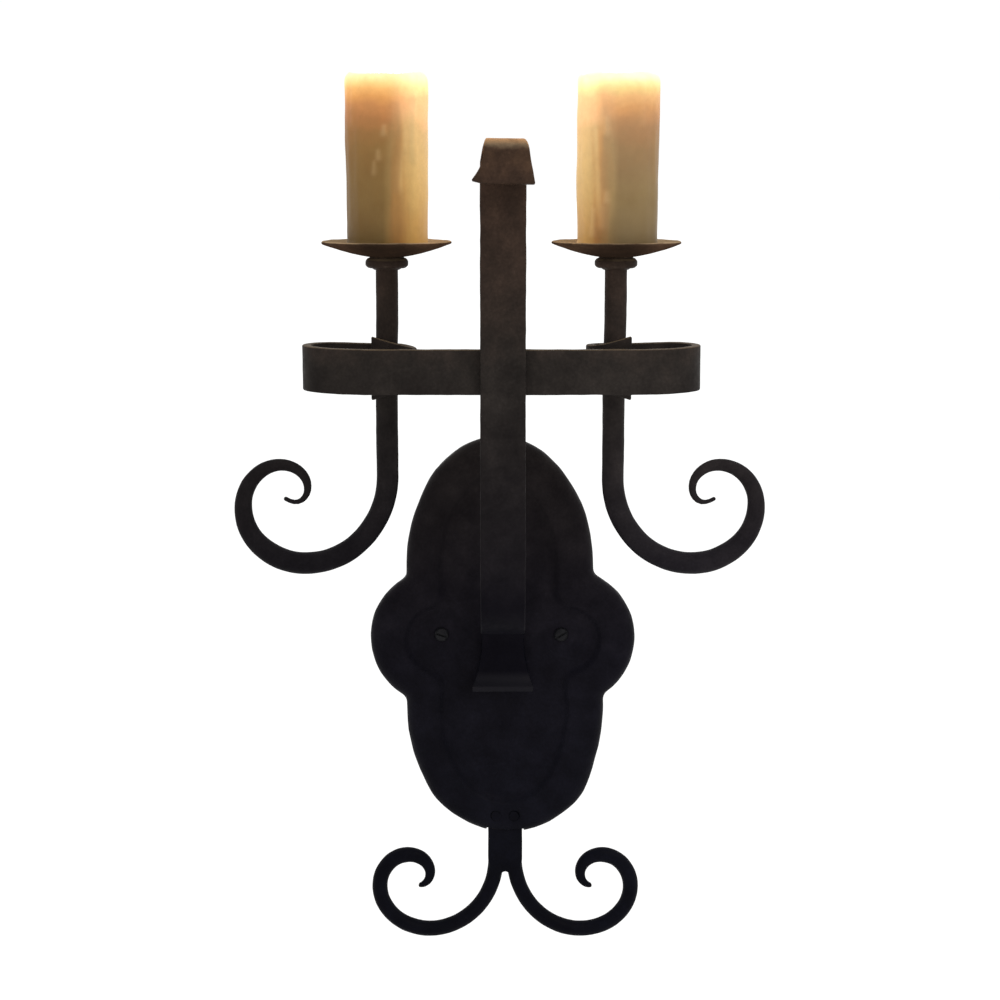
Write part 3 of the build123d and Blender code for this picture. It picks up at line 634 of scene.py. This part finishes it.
# the pan's iron is a much lighter, warmer copy, as painted candle light, with painted shadow round its collar
lit_and_shaded_pan_iron = iron_material("pan_iron_painted_light_and_shadow", gloss=0.0, painted_light_gain=(2.0, 1.75, 1.45, 1.0), pan_shadow=0.6)

# ---------------------------------------------------------------- arms
ARM_TOP = box("left_collar")[0][2] + 2.5 * MM
ARM_SCROLL_TOP = 104.3 * MM
# the rod ends two arcs short of the whole scroll, in one last curl
ARM_SCROLL = scroll_moves(start=57.15 * MM, vanish=696.7, power=2.303, turn=551.3, arcs=12)[:10]
ARM_LAST_CURL = (12 * MM, 24.0)
ARM_TIP_RADIUS = 1.2 * MM
ARM_TAPER_FROM = 120.0  # degrees into the scroll


def forged_arm(side_name, side):
    """Round rod, straight down behind the band and then rolled outwards into a tapered scroll."""
    place = middle(f"{side_name}_collar") * [1, 1, 0]
    moves = [(ARM_TOP - ARM_SCROLL_TOP,), *ARM_SCROLL, ARM_LAST_CURL]
    path = walk((0, ARM_TOP), -90, moves, 2.2 * MM)
    radii = turned_radii(path[1], ROD_RADIUS, ARM_TIP_RADIUS, ARM_TAPER_FROM, 1.5)
    arm = round_rod(f"{side_name}_forged_arm", path, (place, side * X, Z, Y), radii)
    # both arms hang a little to the left
    co = points_of(arm)
    co[:, 0] -= 0.7 * MM * smooth_step((200 * MM - co[:, 2]) / (40 * MM))
    co[:, 0] -= 0.8 * MM * smooth_step((110 * MM - co[:, 2]) / (60 * MM))
    moved(arm, co)
    forged(arm, wave=0.14 * MM, wave_size=13 * MM, dent=0.16 * MM, dent_size=6 * MM, seed=3.0 + side,
           keep=lambda co: 1 - fade(ARM_TOP - co[:, 2], 12 * MM))
    dressed(arm, arm_iron[side_name], "frame", "iron", f"{side_name}_arm")


for side_name, side in SIDES.items():
    forged_arm(side_name, side)

# ---------------------------------------------------------------- upright bar
BAR_BEVEL = 0.9 * MM
BAR_REACH = 91.675 * MM  # from the wall to the middle of the bar
LIP_RUN = 17.0 * MM
FOLD_RADIUS = 6 * MM
FOLD_TURN = 168.0
FOLD_APEX = LIP_RUN + 8.2 * MM  # how far along the bar the top of the fold is
ON_SHANK = 120 * MM  # a place along the bar that is on its straight shank
SWEEP_RADIUS = 26 * MM
SWEEP_TURN = 84.0
HEEL_RADIUS = 20 * MM
FOOT_RUN = 15 * MM
TOE_CURL = (11 * MM, -58.0)
TOE_RUN = 3 * MM


def bar_path():
    """The bar's middle line in the YZ plane, from the end of the lip over the fold and down to the toe."""
    shank = BAR_TOP - BAR_THICKNESS / 2 - FOLD_RADIUS - SWEEP_TOP
    sweep = math.radians(SWEEP_TURN)
    bends = (SWEEP_RADIUS + HEEL_RADIUS) * (1 - math.cos(sweep))
    back_run = (BAR_REACH - SUNK_REACH - BAR_THICKNESS / 2 - bends) / math.sin(sweep)
    points, headings = walk((0, 0), FOLD_TURN - 90, [
        (LIP_RUN - BAR_BEVEL,), (FOLD_RADIUS, -FOLD_TURN), (shank,), (SWEEP_RADIUS, SWEEP_TURN), (back_run,),
        (HEEL_RADIUS, -SWEEP_TURN), (FOOT_RUN,), TOE_CURL, (TOE_RUN - BAR_BEVEL,)], 1.6 * MM)
    shank_at = np.argmin(np.abs(lengths(points) - ON_SHANK))
    points[:, 0] += -BAR_REACH - points[shank_at, 0]
    points[:, 1] += BAR_TOP - BAR_THICKNESS / 2 - points[:, 1].max()
    return points, headings


def forged_bar():
    """Flat bar with a lip that spreads to both sides and a thin, spread toe."""
    points, headings = bar_path()
    along = lengths(points)
    drawn = fade(along - FOLD_APEX, 12 * MM)
    shoulder = bell(along - FOLD_APEX, 4.2 * MM)
    toe = fade(along[-1] - along, 30 * MM)
    left_half = FLAT_HALF - 2.0 * MM * drawn - 1.2 * MM * shoulder + 5.8 * MM * toe ** 1.5
    left_half += 6.2 * MM * fade(along, 15 * MM) ** 1.5
    right_half = FLAT_HALF + 0.4 * MM * drawn - 1.3 * MM * shoulder + 5.8 * MM * toe ** 1.5
    right_half += 4.2 * MM * fade(along, FOLD_APEX) ** 1.1
    thick = BAR_THICKNESS - 1.9 * MM * fade(along, 16 * MM) - 2.0 * MM * toe
    bar = flat_bar("forged_upright_bar", (points, headings), (np.zeros(3), Y, Z, X), -left_half, right_half,
                   thick, BAR_BEVEL)
    co = points_of(bar)
    lip_low = BAR_TOP - BAR_THICKNESS / 2 - FOLD_RADIUS - LIP_RUN
    on_lip = fade(co[:, 2] - lip_low, 12 * MM) * (co[:, 1] < -BAR_REACH - FOLD_RADIUS)
    co[:, 2] += 1.8 * MM * on_lip * fade(co[:, 0] + 16 * MM, 9 * MM) ** 1.5  # its left corner curls up
    co[:, 0] += 0.9 * MM  # the bar stands a little off the centre line
    moved(bar, co)
    forged(bar, wave=0.22 * MM, wave_size=15 * MM, dent=0.26 * MM, dent_size=8 * MM, seed=11.0)
    dressed(bar, bar_iron, "frame", "iron", "upright_bar")


forged_bar()

# ---------------------------------------------------------------- cross band
BAND_BEVEL = 0.8 * MM
GRIP_GAP = 0.1 * MM  # between an eye and its rod
EYE_INSIDE_X = 48.5 * MM  # nearest that an eye comes to the middle
FISHTAIL_RUN = 14.0 * MM


def band_path():
    """The strip's middle line in the XY plane, from end to end, and the radius of its eyes on the rods."""
    low, high = box("cross_band")
    front = -low[1] - BAND_THICKNESS / 2
    back = -high[1] + BAND_THICKNESS / 2
    loop_radius = (front - back) / 2
    loop_x = high[0] - BAND_THICKNESS / 2 - loop_radius
    eye_radius = (ROD_REACH + ROD_RADIUS + GRIP_GAP + BAND_THICKNESS / 2 - back) / 2
    eye_x = EYE_INSIDE_X + BAND_THICKNESS / 2 + eye_radius
    points, headings = walk((0, -front), 0, [(loop_x,), (loop_radius, 180.0), (loop_x - eye_x,),
                                             (eye_radius, 180.0), (FISHTAIL_RUN - BAND_BEVEL,)], 2.0 * MM)
    both_points = np.vstack([points[::-1] * [-1, 1], points[1:]])
    both_headings = np.concatenate([-headings[::-1], headings[1:]])
    return (both_points, both_headings), eye_radius


def forged_band():
    """Flat strip whose ends are rolled into loops, closed round the rods and spread into fishtails."""
    path, eye_radius = band_path()
    along = lengths(path[0])
    flare = fade(np.minimum(along, along[-1] - along), FISHTAIL_RUN + 8 * MM)
    half = FLAT_HALF + 5.3 * MM * flare ** 1.3
    left_eye = FISHTAIL_RUN + eye_radius * math.pi / 2
    sunk = 1.9 * MM * bell(along - left_eye, 9 * MM)  # the strip is narrower at its left eye
    thick = BAND_THICKNESS - 1.6 * MM * flare
    band = flat_bar("forged_cross_band", path, (Z * BAND_Z, X, Y, Z), -half, half - sunk, thick, BAND_BEVEL)
    co = points_of(band)
    co[:, 2] += 1.0 * MM * smooth_step((np.abs(co[:, 0]) - 72 * MM) / (40 * MM))  # the loops rise a little
    moved(band, co)
    forged(band, wave=0.18 * MM, wave_size=15 * MM, dent=0.2 * MM, dent_size=8 * MM, seed=23.0)
    dressed(band, iron, "frame", "iron", "cross_band")


forged_band()


# ---------------------------------------------------------------- plate and tail
def leaned(obj, swell=0.0):
    """Moves the lower plate and the tail a little to the right, where the smith set them."""
    co = points_of(obj)
    co[:, 0] *= 1 + swell * bell(co[:, 2] + 112 * MM, 20 * MM)
    co[:, 0] += 2.4 * MM * smooth_step((-70 * MM - co[:, 2]) / (50 * MM))
    moved(obj, co)


def forged_plate():
    plate = remeshed("forged_backplate", "backplate", 0.92 * MM, 7)
    leaned(plate, swell=0.07)
    co = points_of(plate)
    co[:, 0] += 0.8 * MM * smooth_step((np.abs(co[:, 0]) - 40 * MM) / (10 * MM))  # the lobes sit to the right
    moved(plate, co)
    forged(plate, wave=0.3 * MM, wave_size=22 * MM, dent=0.28 * MM, dent_size=9 * MM, seed=31.0)
    dressed(plate, plate_iron, "frame", "iron", "backplate")


def forged_tail():
    tail = remeshed("forged_tail_scroll", "tail_scroll", 0.8 * MM, 6)
    leaned(tail)
    forged(tail, wave=0.12 * MM, wave_size=11 * MM, dent=0.14 * MM, dent_size=6 * MM, seed=41.0)
    dressed(tail, iron, "frame", "iron", "tail_scroll")


forged_plate()
forged_tail()


# ---------------------------------------------------------------- rivets
def rivets(name, node, count, radius, head_radius, head_height, front_gap):
    """Plain shanks with a domed head behind, one for each rivet of the node."""
    low, high = box(node)
    front, back = low[1] + front_gap, high[1]
    rim = radius + 0.5 * MM  # the front end is hammered a little wider
    outline = rounded([(0, back), (0.45 * head_radius, back - 0.07 * head_height),
                       (0.82 * head_radius, back - 0.4 * head_height), (head_radius, back - head_height),
                       (radius, back - head_height), (radius, front + 0.9 * MM), (rim, front + 0.6 * MM),
                       (rim, front), (0, front)], 0.5 * MM)
    for number, x in enumerate(np.linspace(low[0] + head_radius, high[0] - head_radius, count)):
        centre = np.array([x, 0, (low[2] + high[2]) / 2])
        rivet = lathed(f"{name}_{number + 1}", dense(outline, 1.2 * MM), centre, Y, 40)
        leaned(rivet)
        forged(rivet, wave=0.08 * MM, wave_size=5 * MM, dent=0.1 * MM, dent_size=3 * MM, seed=7.0)
        dressed(rivet, iron, "frame", "iron", node)


rivets("crossing_rivet_piece", "crossing_rivet", 1, 4 * MM, 7 * MM, 3 * MM, 1 * MM)
rivets("foot_rivet_piece", "foot_rivets", 2, 2.5 * MM, 4.375 * MM, 2 * MM, 1 * MM)
rivets("tail_rivet_piece", "tail_rivets", 2, 2.5 * MM, 4.375 * MM, 2 * MM, 0.0)

# ---------------------------------------------------------------- wall screws
SCREW_HEAD = 4.2 * MM
HEAD_EDGE = 0.8 * MM
HEAD_DOME = 2 * MM
SCREW_NECK = 2.3 * MM
THREAD_START = -6 * MM
THREAD_PITCH = 1.9 * MM
THREAD_ROOT = 1.45 * MM
THREAD_CREST = 2 * MM
SLOT_SIZE = (12 * MM, 3 * MM, 1.2 * MM)
SLOT_TILTS = (18, -31)


def threaded_screw(name, x, end):
    """Screw with a domed head on the plate, and with a thread that runs out at its point."""
    seat = -SUNK_REACH
    outline = [(SCREW_HEAD * math.sin(a), seat - HEAD_EDGE - HEAD_DOME * math.cos(a))
               for a in np.radians(np.linspace(0, 90, 8))]
    outline += [(SCREW_HEAD, seat), (SCREW_NECK, seat), (SCREW_NECK, THREAD_START - 1 * MM)]
    outline += [(THREAD_CREST, y) for y in np.arange(THREAD_START, end, 0.16 * MM)] + [(0.05 * MM, end)]
    screw = lathed(name, outline, np.array([x, 0, 0]), Y, 40)
    co = points_of(screw)
    off = co - [x, 0, 0]
    radius = np.hypot(off[:, 0], off[:, 2])
    phase = (co[:, 1] / THREAD_PITCH - np.arctan2(off[:, 2], off[:, 0]) / (2 * math.pi)) % 1
    crest = fade(np.abs(phase - 0.5), 0.22) * (THREAD_CREST - THREAD_ROOT)
    to_end = end - co[:, 1]
    wanted = THREAD_ROOT * np.clip(to_end / (5 * MM), 0.02, 1) + crest * np.clip(to_end / (4 * MM), 0, 1)
    on_thread = (co[:, 1] > THREAD_START - 1e-6) & (radius > 1e-5)
    scale = np.where(on_thread, wanted / np.maximum(radius, 1e-6), 1.0)
    co[:, 0] = x + off[:, 0] * scale
    co[:, 2] = off[:, 2] * scale
    moved(screw, co)
    return screw


def slotted(screw, x, face, tilt):
    """Cuts the slot for a screwdriver into the head."""
    bm = bmesh.new()
    bmesh.ops.create_cube(bm, size=1.0)
    bmesh.ops.scale(bm, vec=SLOT_SIZE, verts=bm.verts)
    turned = Matrix.Translation((x, face, 0)) @ Matrix.Rotation(math.radians(tilt), 4, "Y")
    bmesh.ops.transform(bm, matrix=turned, verts=bm.verts)
    mesh = bpy.data.meshes.new("slot")
    bm.to_mesh(mesh)
    bm.free()
    cutter = bpy.data.objects.new("slot", mesh)
    bpy.context.scene.collection.objects.link(cutter)
    cut = screw.modifiers.new("slot", "BOOLEAN")
    cut.object = cutter
    cut.operation = "DIFFERENCE"
    cut.solver = "EXACT"
    result = bpy.data.meshes.new_from_object(screw.evaluated_get(bpy.context.evaluated_depsgraph_get()))
    screw.modifiers.clear()
    screw.data = result
    bpy.data.objects.remove(cutter)


steel = screw_material()
screw_low, screw_high = box("wall_screws")
for number, x in enumerate((screw_low[0] + SCREW_HEAD, screw_high[0] - SCREW_HEAD)):
    screw = threaded_screw(f"wall_screw_{number + 1}", x, screw_high[1])
    slotted(screw, x, screw_low[1], SLOT_TILTS[number])
    dressed(screw, steel, "frame", "screw_steel", "wall_screws")

# ---------------------------------------------------------------- pans, collars and what holds the candles
PAN_SHEET = 1.8 * MM
STUD_HOLE = 4.05 * MM
ROD_HOLE = 6.4 * MM
COLLAR_NECK = 9.85 * MM
CANDLE_SEAT = 24.5 * MM  # a pan is smooth out to this radius, where the candle stands


def drip_pan(side_name, side, centre):
    """Shallow sheet-iron dish with a rolled edge."""
    low, high = box(f"{side_name}_drip_pan")
    rim = (high[0] - low[0]) / 2
    seat = low[2]
    under = [(11 * MM, seat), (15 * MM, seat + 0.75 * MM), (20 * MM, seat + 1.85 * MM),
             (26.2 * MM, seat + 3.6 * MM), (32 * MM, seat + 5.5 * MM), (rim - 0.5 * MM, seat + 7.2 * MM)]
    over = [(r - 0.25 * MM, z + PAN_SHEET) for r, z in reversed(under)]
    outline = [(STUD_HOLE, seat), *under, (rim, seat + 7.9 * MM), *over, (STUD_HOLE, seat + PAN_SHEET)]
    outline = dense(rounded(outline, 0.9 * MM, 3), 1.6 * MM)
    pan = lathed(f"{side_name}_forged_drip_pan", outline, centre, Z, 120, loop=True)

    def past_candle(co):
        return np.clip((np.hypot(*(co - centre)[:, :2].T) - CANDLE_SEAT) / (5 * MM), 0.05, 1)

    forged(pan, wave=0.3 * MM, wave_size=16 * MM, dent=0.24 * MM, dent_size=7 * MM, seed=50 + side,
           keep=past_candle)
    dressed(pan, lit_and_shaded_pan_iron, "frame", "iron", f"{side_name}_drip_pan")


def turned_collar(side_name, side, centre):
    """Turned ring with a full bead and a narrower neck under the pan."""
    low, high = box(f"{side_name}_collar")
    bead = (high[0] - low[0]) / 2
    foot, top = low[2], high[2]
    outline = [(ROD_HOLE, foot + 3 * MM), (ROD_HOLE, foot), (7.3 * MM, foot), (8.4 * MM, foot + 0.9 * MM),
               (bead - 1.6 * MM, foot + 1.0 * MM), (bead, foot + 2.4 * MM), (bead, foot + 5.0 * MM),
               (bead - 1.3 * MM, foot + 6.6 * MM), (COLLAR_NECK, foot + 6.7 * MM), (COLLAR_NECK, top),
               (ROD_HOLE, top), (ROD_HOLE, foot + 3.1 * MM)]
    outline = dense(rounded(outline, 0.7 * MM), 1.2 * MM)
    collar = lathed(f"{side_name}_forged_collar", outline, centre, Z, 72, loop=True)
    forged(collar, wave=0.12 * MM, wave_size=9 * MM, dent=0.14 * MM, dent_size=4 * MM, seed=60 + side)
    dressed(collar, iron, "frame", "iron", f"{side_name}_collar")


for side_name, side in SIDES.items():
    centre = middle(f"{side_name}_drip_pan") * [1, 1, 0]
    drip_pan(side_name, side, centre)
    turned_collar(side_name, side, centre)
    for node in (f"{side_name}_washer", f"{side_name}_pricket"):
        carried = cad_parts[node]
        carried.data.materials.clear()
        carried.data.materials.append(iron)

# ---------------------------------------------------------------- candles
BORE_GAP = 0.8 * MM  # above the pricket's point
POCKET_HEIGHT = 4 * MM  # room in the candle's foot for the pricket's nut
POCKET_RADIUS = 9.5 * MM
# the candle's shoulder, rim and melt bowl: radius and depth below the top, in mm
RIM_AND_BOWL = ((24.1, 4.4), (23.6, 2.0), (22.0, 0.4), (20.6, 0.0), (19.5, 0.7), (18.6, 2.6), (17.4, 6.5),
                (15.4, 11.0), (13.0, 13.6), (9.0, 16.4), (4.0, 16.9), (0.0, 17.0))
# drips of wax: sideways place as a share of the radius, height of the top, length, width and thickness in
# mm, and strength of the painted highlight on them
DRIPS = {
    "left": [(0.03, 303.5, 3.5, 1.7, 0.8, 0.36), (-0.13, 290.0, 3.5, 1.6, 0.8, 0.30),
             (-0.24, 284.0, 5.5, 1.5, 0.6, 0.24), (0.38, 330.0, 60.0, 2.6, 0.45, 0.12),
             (0.7, 320.0, 34.0, 2.2, 0.5, 0.1), (-0.75, 328.0, 22.0, 2.0, 0.5, 0.08)],
    "right": [(-0.30, 308.0, 8.0, 1.8, 0.8, 0.36), (-0.28, 267.0, 3.8, 1.9, 0.8, 0.30),
              (-0.42, 331.0, 82.0, 2.8, 0.5, 0.14), (-0.62, 258.0, 14.0, 1.8, 0.6, 0.2),
              (0.55, 326.0, 20.0, 2.2, 0.45, 0.1), (0.85, 300.0, 26.0, 2.0, 0.5, 0.08)],
}
TRIM = {"left": (1.3 * MM, 0.0), "right": (1.2 * MM, 0.3 * MM)}  # wax missing on the left and on the right


def pillar_outline(side_name, base, top):
    """Half section of a candle, from the bore for the pricket round to the melt bowl."""
    bore_top = box(f"{side_name}_pricket")[1][2] + BORE_GAP
    bore = [(0, bore_top), (3.6 * MM, base + POCKET_HEIGHT), (POCKET_RADIUS, base + POCKET_HEIGHT),
            (POCKET_RADIUS, base)]
    foot = [(22.9 * MM, base), (23.45 * MM, base + 1.0 * MM)]
    bowl = [(radius * MM, top - depth * MM) for radius, depth in RIM_AND_BOWL]
    return dense(rounded(bore + foot + bowl, 1.1 * MM, 3), 1.2 * MM)


def uneven_wax(angle, z, side):
    """Slow swells, upright ridges and small lumps, as a distance outwards."""
    around = Vector((math.sin(angle), math.cos(angle), 0))
    swell = noise.noise(around * 1.2 + Vector((5 * side, 0, z / (26 * MM))))
    ridge = noise.noise(around * 4.0 + Vector((0, 9 * side, z / (70 * MM))))
    lump = noise.noise(around * 9.0 + Vector((0, 0, z / (9 * MM))))
    return (0.55 * swell + 0.35 * ridge + 0.12 * lump) * MM


def runs_of_wax(angle, z, drips):
    """How far the drips stand out of the wax, and how strong the painted highlight on them is."""
    lift = np.zeros(len(z))
    glow = np.zeros(len(z))
    for share, z_top, length, width, height, shine in drips:
        sideways = ((angle - math.asin(share) + math.pi) % (2 * math.pi) - math.pi) * PILLAR_RADIUS
        sideways += 0.6 * MM * np.sin(z / (9 * MM) + share * 9)
        below = z_top * MM - z
        past = np.maximum(below - length * MM, 0) + np.maximum(-below, 0)
        fat = 1 + 0.35 * np.clip(below / (length * MM), 0, 1) ** 2
        away = np.hypot(sideways, past) / (width * MM * fat)
        lift += height * MM * fat * np.exp(-1.6 * away ** 2)
        glow = np.maximum(glow, shine * np.exp(-1.5 * away ** 2))
    return lift, glow


def wax_pillar(side_name, side, centre):
    """Candle that has burned down inside its rim, with uneven sides and runs of wax."""
    low, high = box(f"{side_name}_candle")
    base, top = low[2], high[2]
    candle = lathed(f"{side_name}_wax_pillar", pillar_outline(side_name, base, top), centre, Z, 144)
    co = points_of(candle)
    off = co - centre
    radius = np.hypot(off[:, 0], off[:, 1])
    angle = np.arctan2(off[:, 0], -off[:, 1])  # 0 faces the front, and +90 degrees is +X
    drips, glow = runs_of_wax(angle, co[:, 2], DRIPS[side_name])
    lift = drips + [uneven_wax(a, z, side) for a, z in zip(angle, co[:, 2])]
    off_left, off_right = TRIM[side_name]
    lift -= off_left * np.clip(-np.sin(angle), 0, 1) + off_right * np.clip(np.sin(angle), 0, 1)
    lift *= np.clip((radius - 20 * MM) / (2 * MM), 0, 1) * np.clip((co[:, 2] - base) / (4 * MM), 0, 1)
    on_rim = fade(np.abs(radius - 21 * MM), 4 * MM) * fade(top - co[:, 2], 6 * MM)
    co[:, 0] += np.sin(angle) * lift
    co[:, 1] -= np.cos(angle) * lift
    co[:, 2] += on_rim * (0.45 * MM * np.sin(2 * angle + side) + 0.3 * MM * np.sin(5 * angle - 2 * side))
    moved(candle, co)
    candle.data.attributes.new("drip_highlight", "FLOAT", "POINT").data.foreach_set("value", glow)
    wax = wax_material(side_name, centre[0], base, top)
    dressed(candle, wax, f"{side_name}_candle", "wax", f"{side_name}_candle")


def braided_wick(side_name, side, centre):
    """Three-strand wick that leans towards the outside."""
    path = walk((0, WICK_BASE - 6 * MM), 90, [(9.5 * MM,), (6 * MM, 38.0)], 0.25 * MM)
    angles = np.linspace(0, 2 * math.pi, 16, endpoint=False)
    rings = []
    for point, heading, twist in zip(*path, lengths(path[0]) / (1.1 * MM)):
        strands = 0.78 * MM * (1 + 0.16 * np.cos(3 * (angles - twist)))
        section = np.stack([np.cos(angles) * strands, np.sin(angles) * strands], 1)
        rings.append(laid(point, heading, section, (centre, side * X, Z, Y)))
    wick = skin(f"{side_name}_braided_wick", rings)
    dressed(wick, wick_look, f"{side_name}_candle", "wick", f"{side_name}_wick")


def small_flame(side_name, side, centre):
    tip = np.array([-side * 0.7 * MM, 0, 0])
    rise = np.linspace(0, 1, 22)
    girth = 2.5 * MM * np.sin(math.pi * rise ** 0.62) ** 0.9 * (1 - 0.25 * rise)
    outline = np.stack([np.maximum(girth, 0.02 * MM), FLAME_FOOT + FLAME_HEIGHT * rise], 1)
    flame = lathed(f"{side_name}_flame", outline, centre + tip, Z, 28)
    dressed(flame, flame_look, f"{side_name}_candle", "wax")


wick_look = wick_material()
flame_look = flame_material()
for side_name, side in SIDES.items():
    centre = middle(f"{side_name}_candle") * [1, 1, 0]
    wax_pillar(side_name, side, centre)
    braided_wick(side_name, side, centre)
    small_flame(side_name, side, centre)

# ---------------------------------------------------------------- floor, light and camera
FLOOR_REACH = 40.0
FLOOR_DROP = 0.35  # below the lowest scroll
SKY_STRENGTH = 1.02
SUN_OFFSET = Vector((1.2, -1.5, 2.4))
GLOW_RISE = 16 * MM  # of a candle's lamp above its rim
LENS = 72.0
CAMERA_PLACE = (-0.0008, -1.2, 0.2854)
CAMERA_DOWN = 9.648  # degrees


def studio_floor():
    z = cad_low.z - FLOOR_DROP
    mesh = bpy.data.meshes.new("floor")
    corners = [(x * FLOOR_REACH, y * FLOOR_REACH, z) for x, y in ((-1, -1), (1, -1), (1, 1), (-1, 1))]
    mesh.from_pydata(corners, [], [(0, 1, 2, 3)])
    floor = bpy.data.objects.new("floor", mesh)
    bpy.context.scene.collection.objects.link(floor)
    floor.data.materials.append(floor_material())


def lamp(name, kind, place, aim, **settings):
    light = bpy.data.lights.new(name, kind)
    for key, value in settings.items():
        setattr(light, key, value)
    obj = bpy.data.objects.new(name, light)
    bpy.context.scene.collection.objects.link(obj)
    obj.location = place
    obj.rotation_euler = (Vector(aim) - Vector(place)).to_track_quat("-Z", "Y").to_euler()
    obj.visible_camera = False
    return obj


studio_floor()

world = bpy.data.worlds.new("studio")
world.use_nodes = True
sky = world.node_tree.nodes["Background"]
sky.inputs["Color"].default_value = (1.0, 1.0, 1.0, 1.0)
sky.inputs["Strength"].default_value = SKY_STRENGTH
bpy.context.scene.world = world

cad_middle = (cad_low + cad_high) / 2
lamp("sky_light", "SUN", cad_middle + SUN_OFFSET, cad_middle, energy=0.9, angle=math.radians(40))
for side_name in SIDES:
    candle_top = box(f"{side_name}_candle")[1][2]
    axis = Vector(middle(f"{side_name}_candle"))
    glow = lamp(f"{side_name}_glow", "POINT", (axis.x, axis.y, candle_top + GLOW_RISE), axis, energy=1.2,
                color=(1.0, 0.62, 0.28), shadow_soft_size=9 * MM)
    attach(glow, f"{side_name}_candle")

camera = bpy.data.cameras.new("camera")
camera.lens = LENS
camera.sensor_width = 36.0
camera.clip_end = 200.0
eye = bpy.data.objects.new("camera", camera)
bpy.context.scene.collection.objects.link(eye)
eye.location = CAMERA_PLACE
eye.rotation_euler = (math.radians(90 - CAMERA_DOWN), 0, 0)
bpy.context.scene.camera = eye
bpy.context.scene.view_settings.view_transform = "Standard"
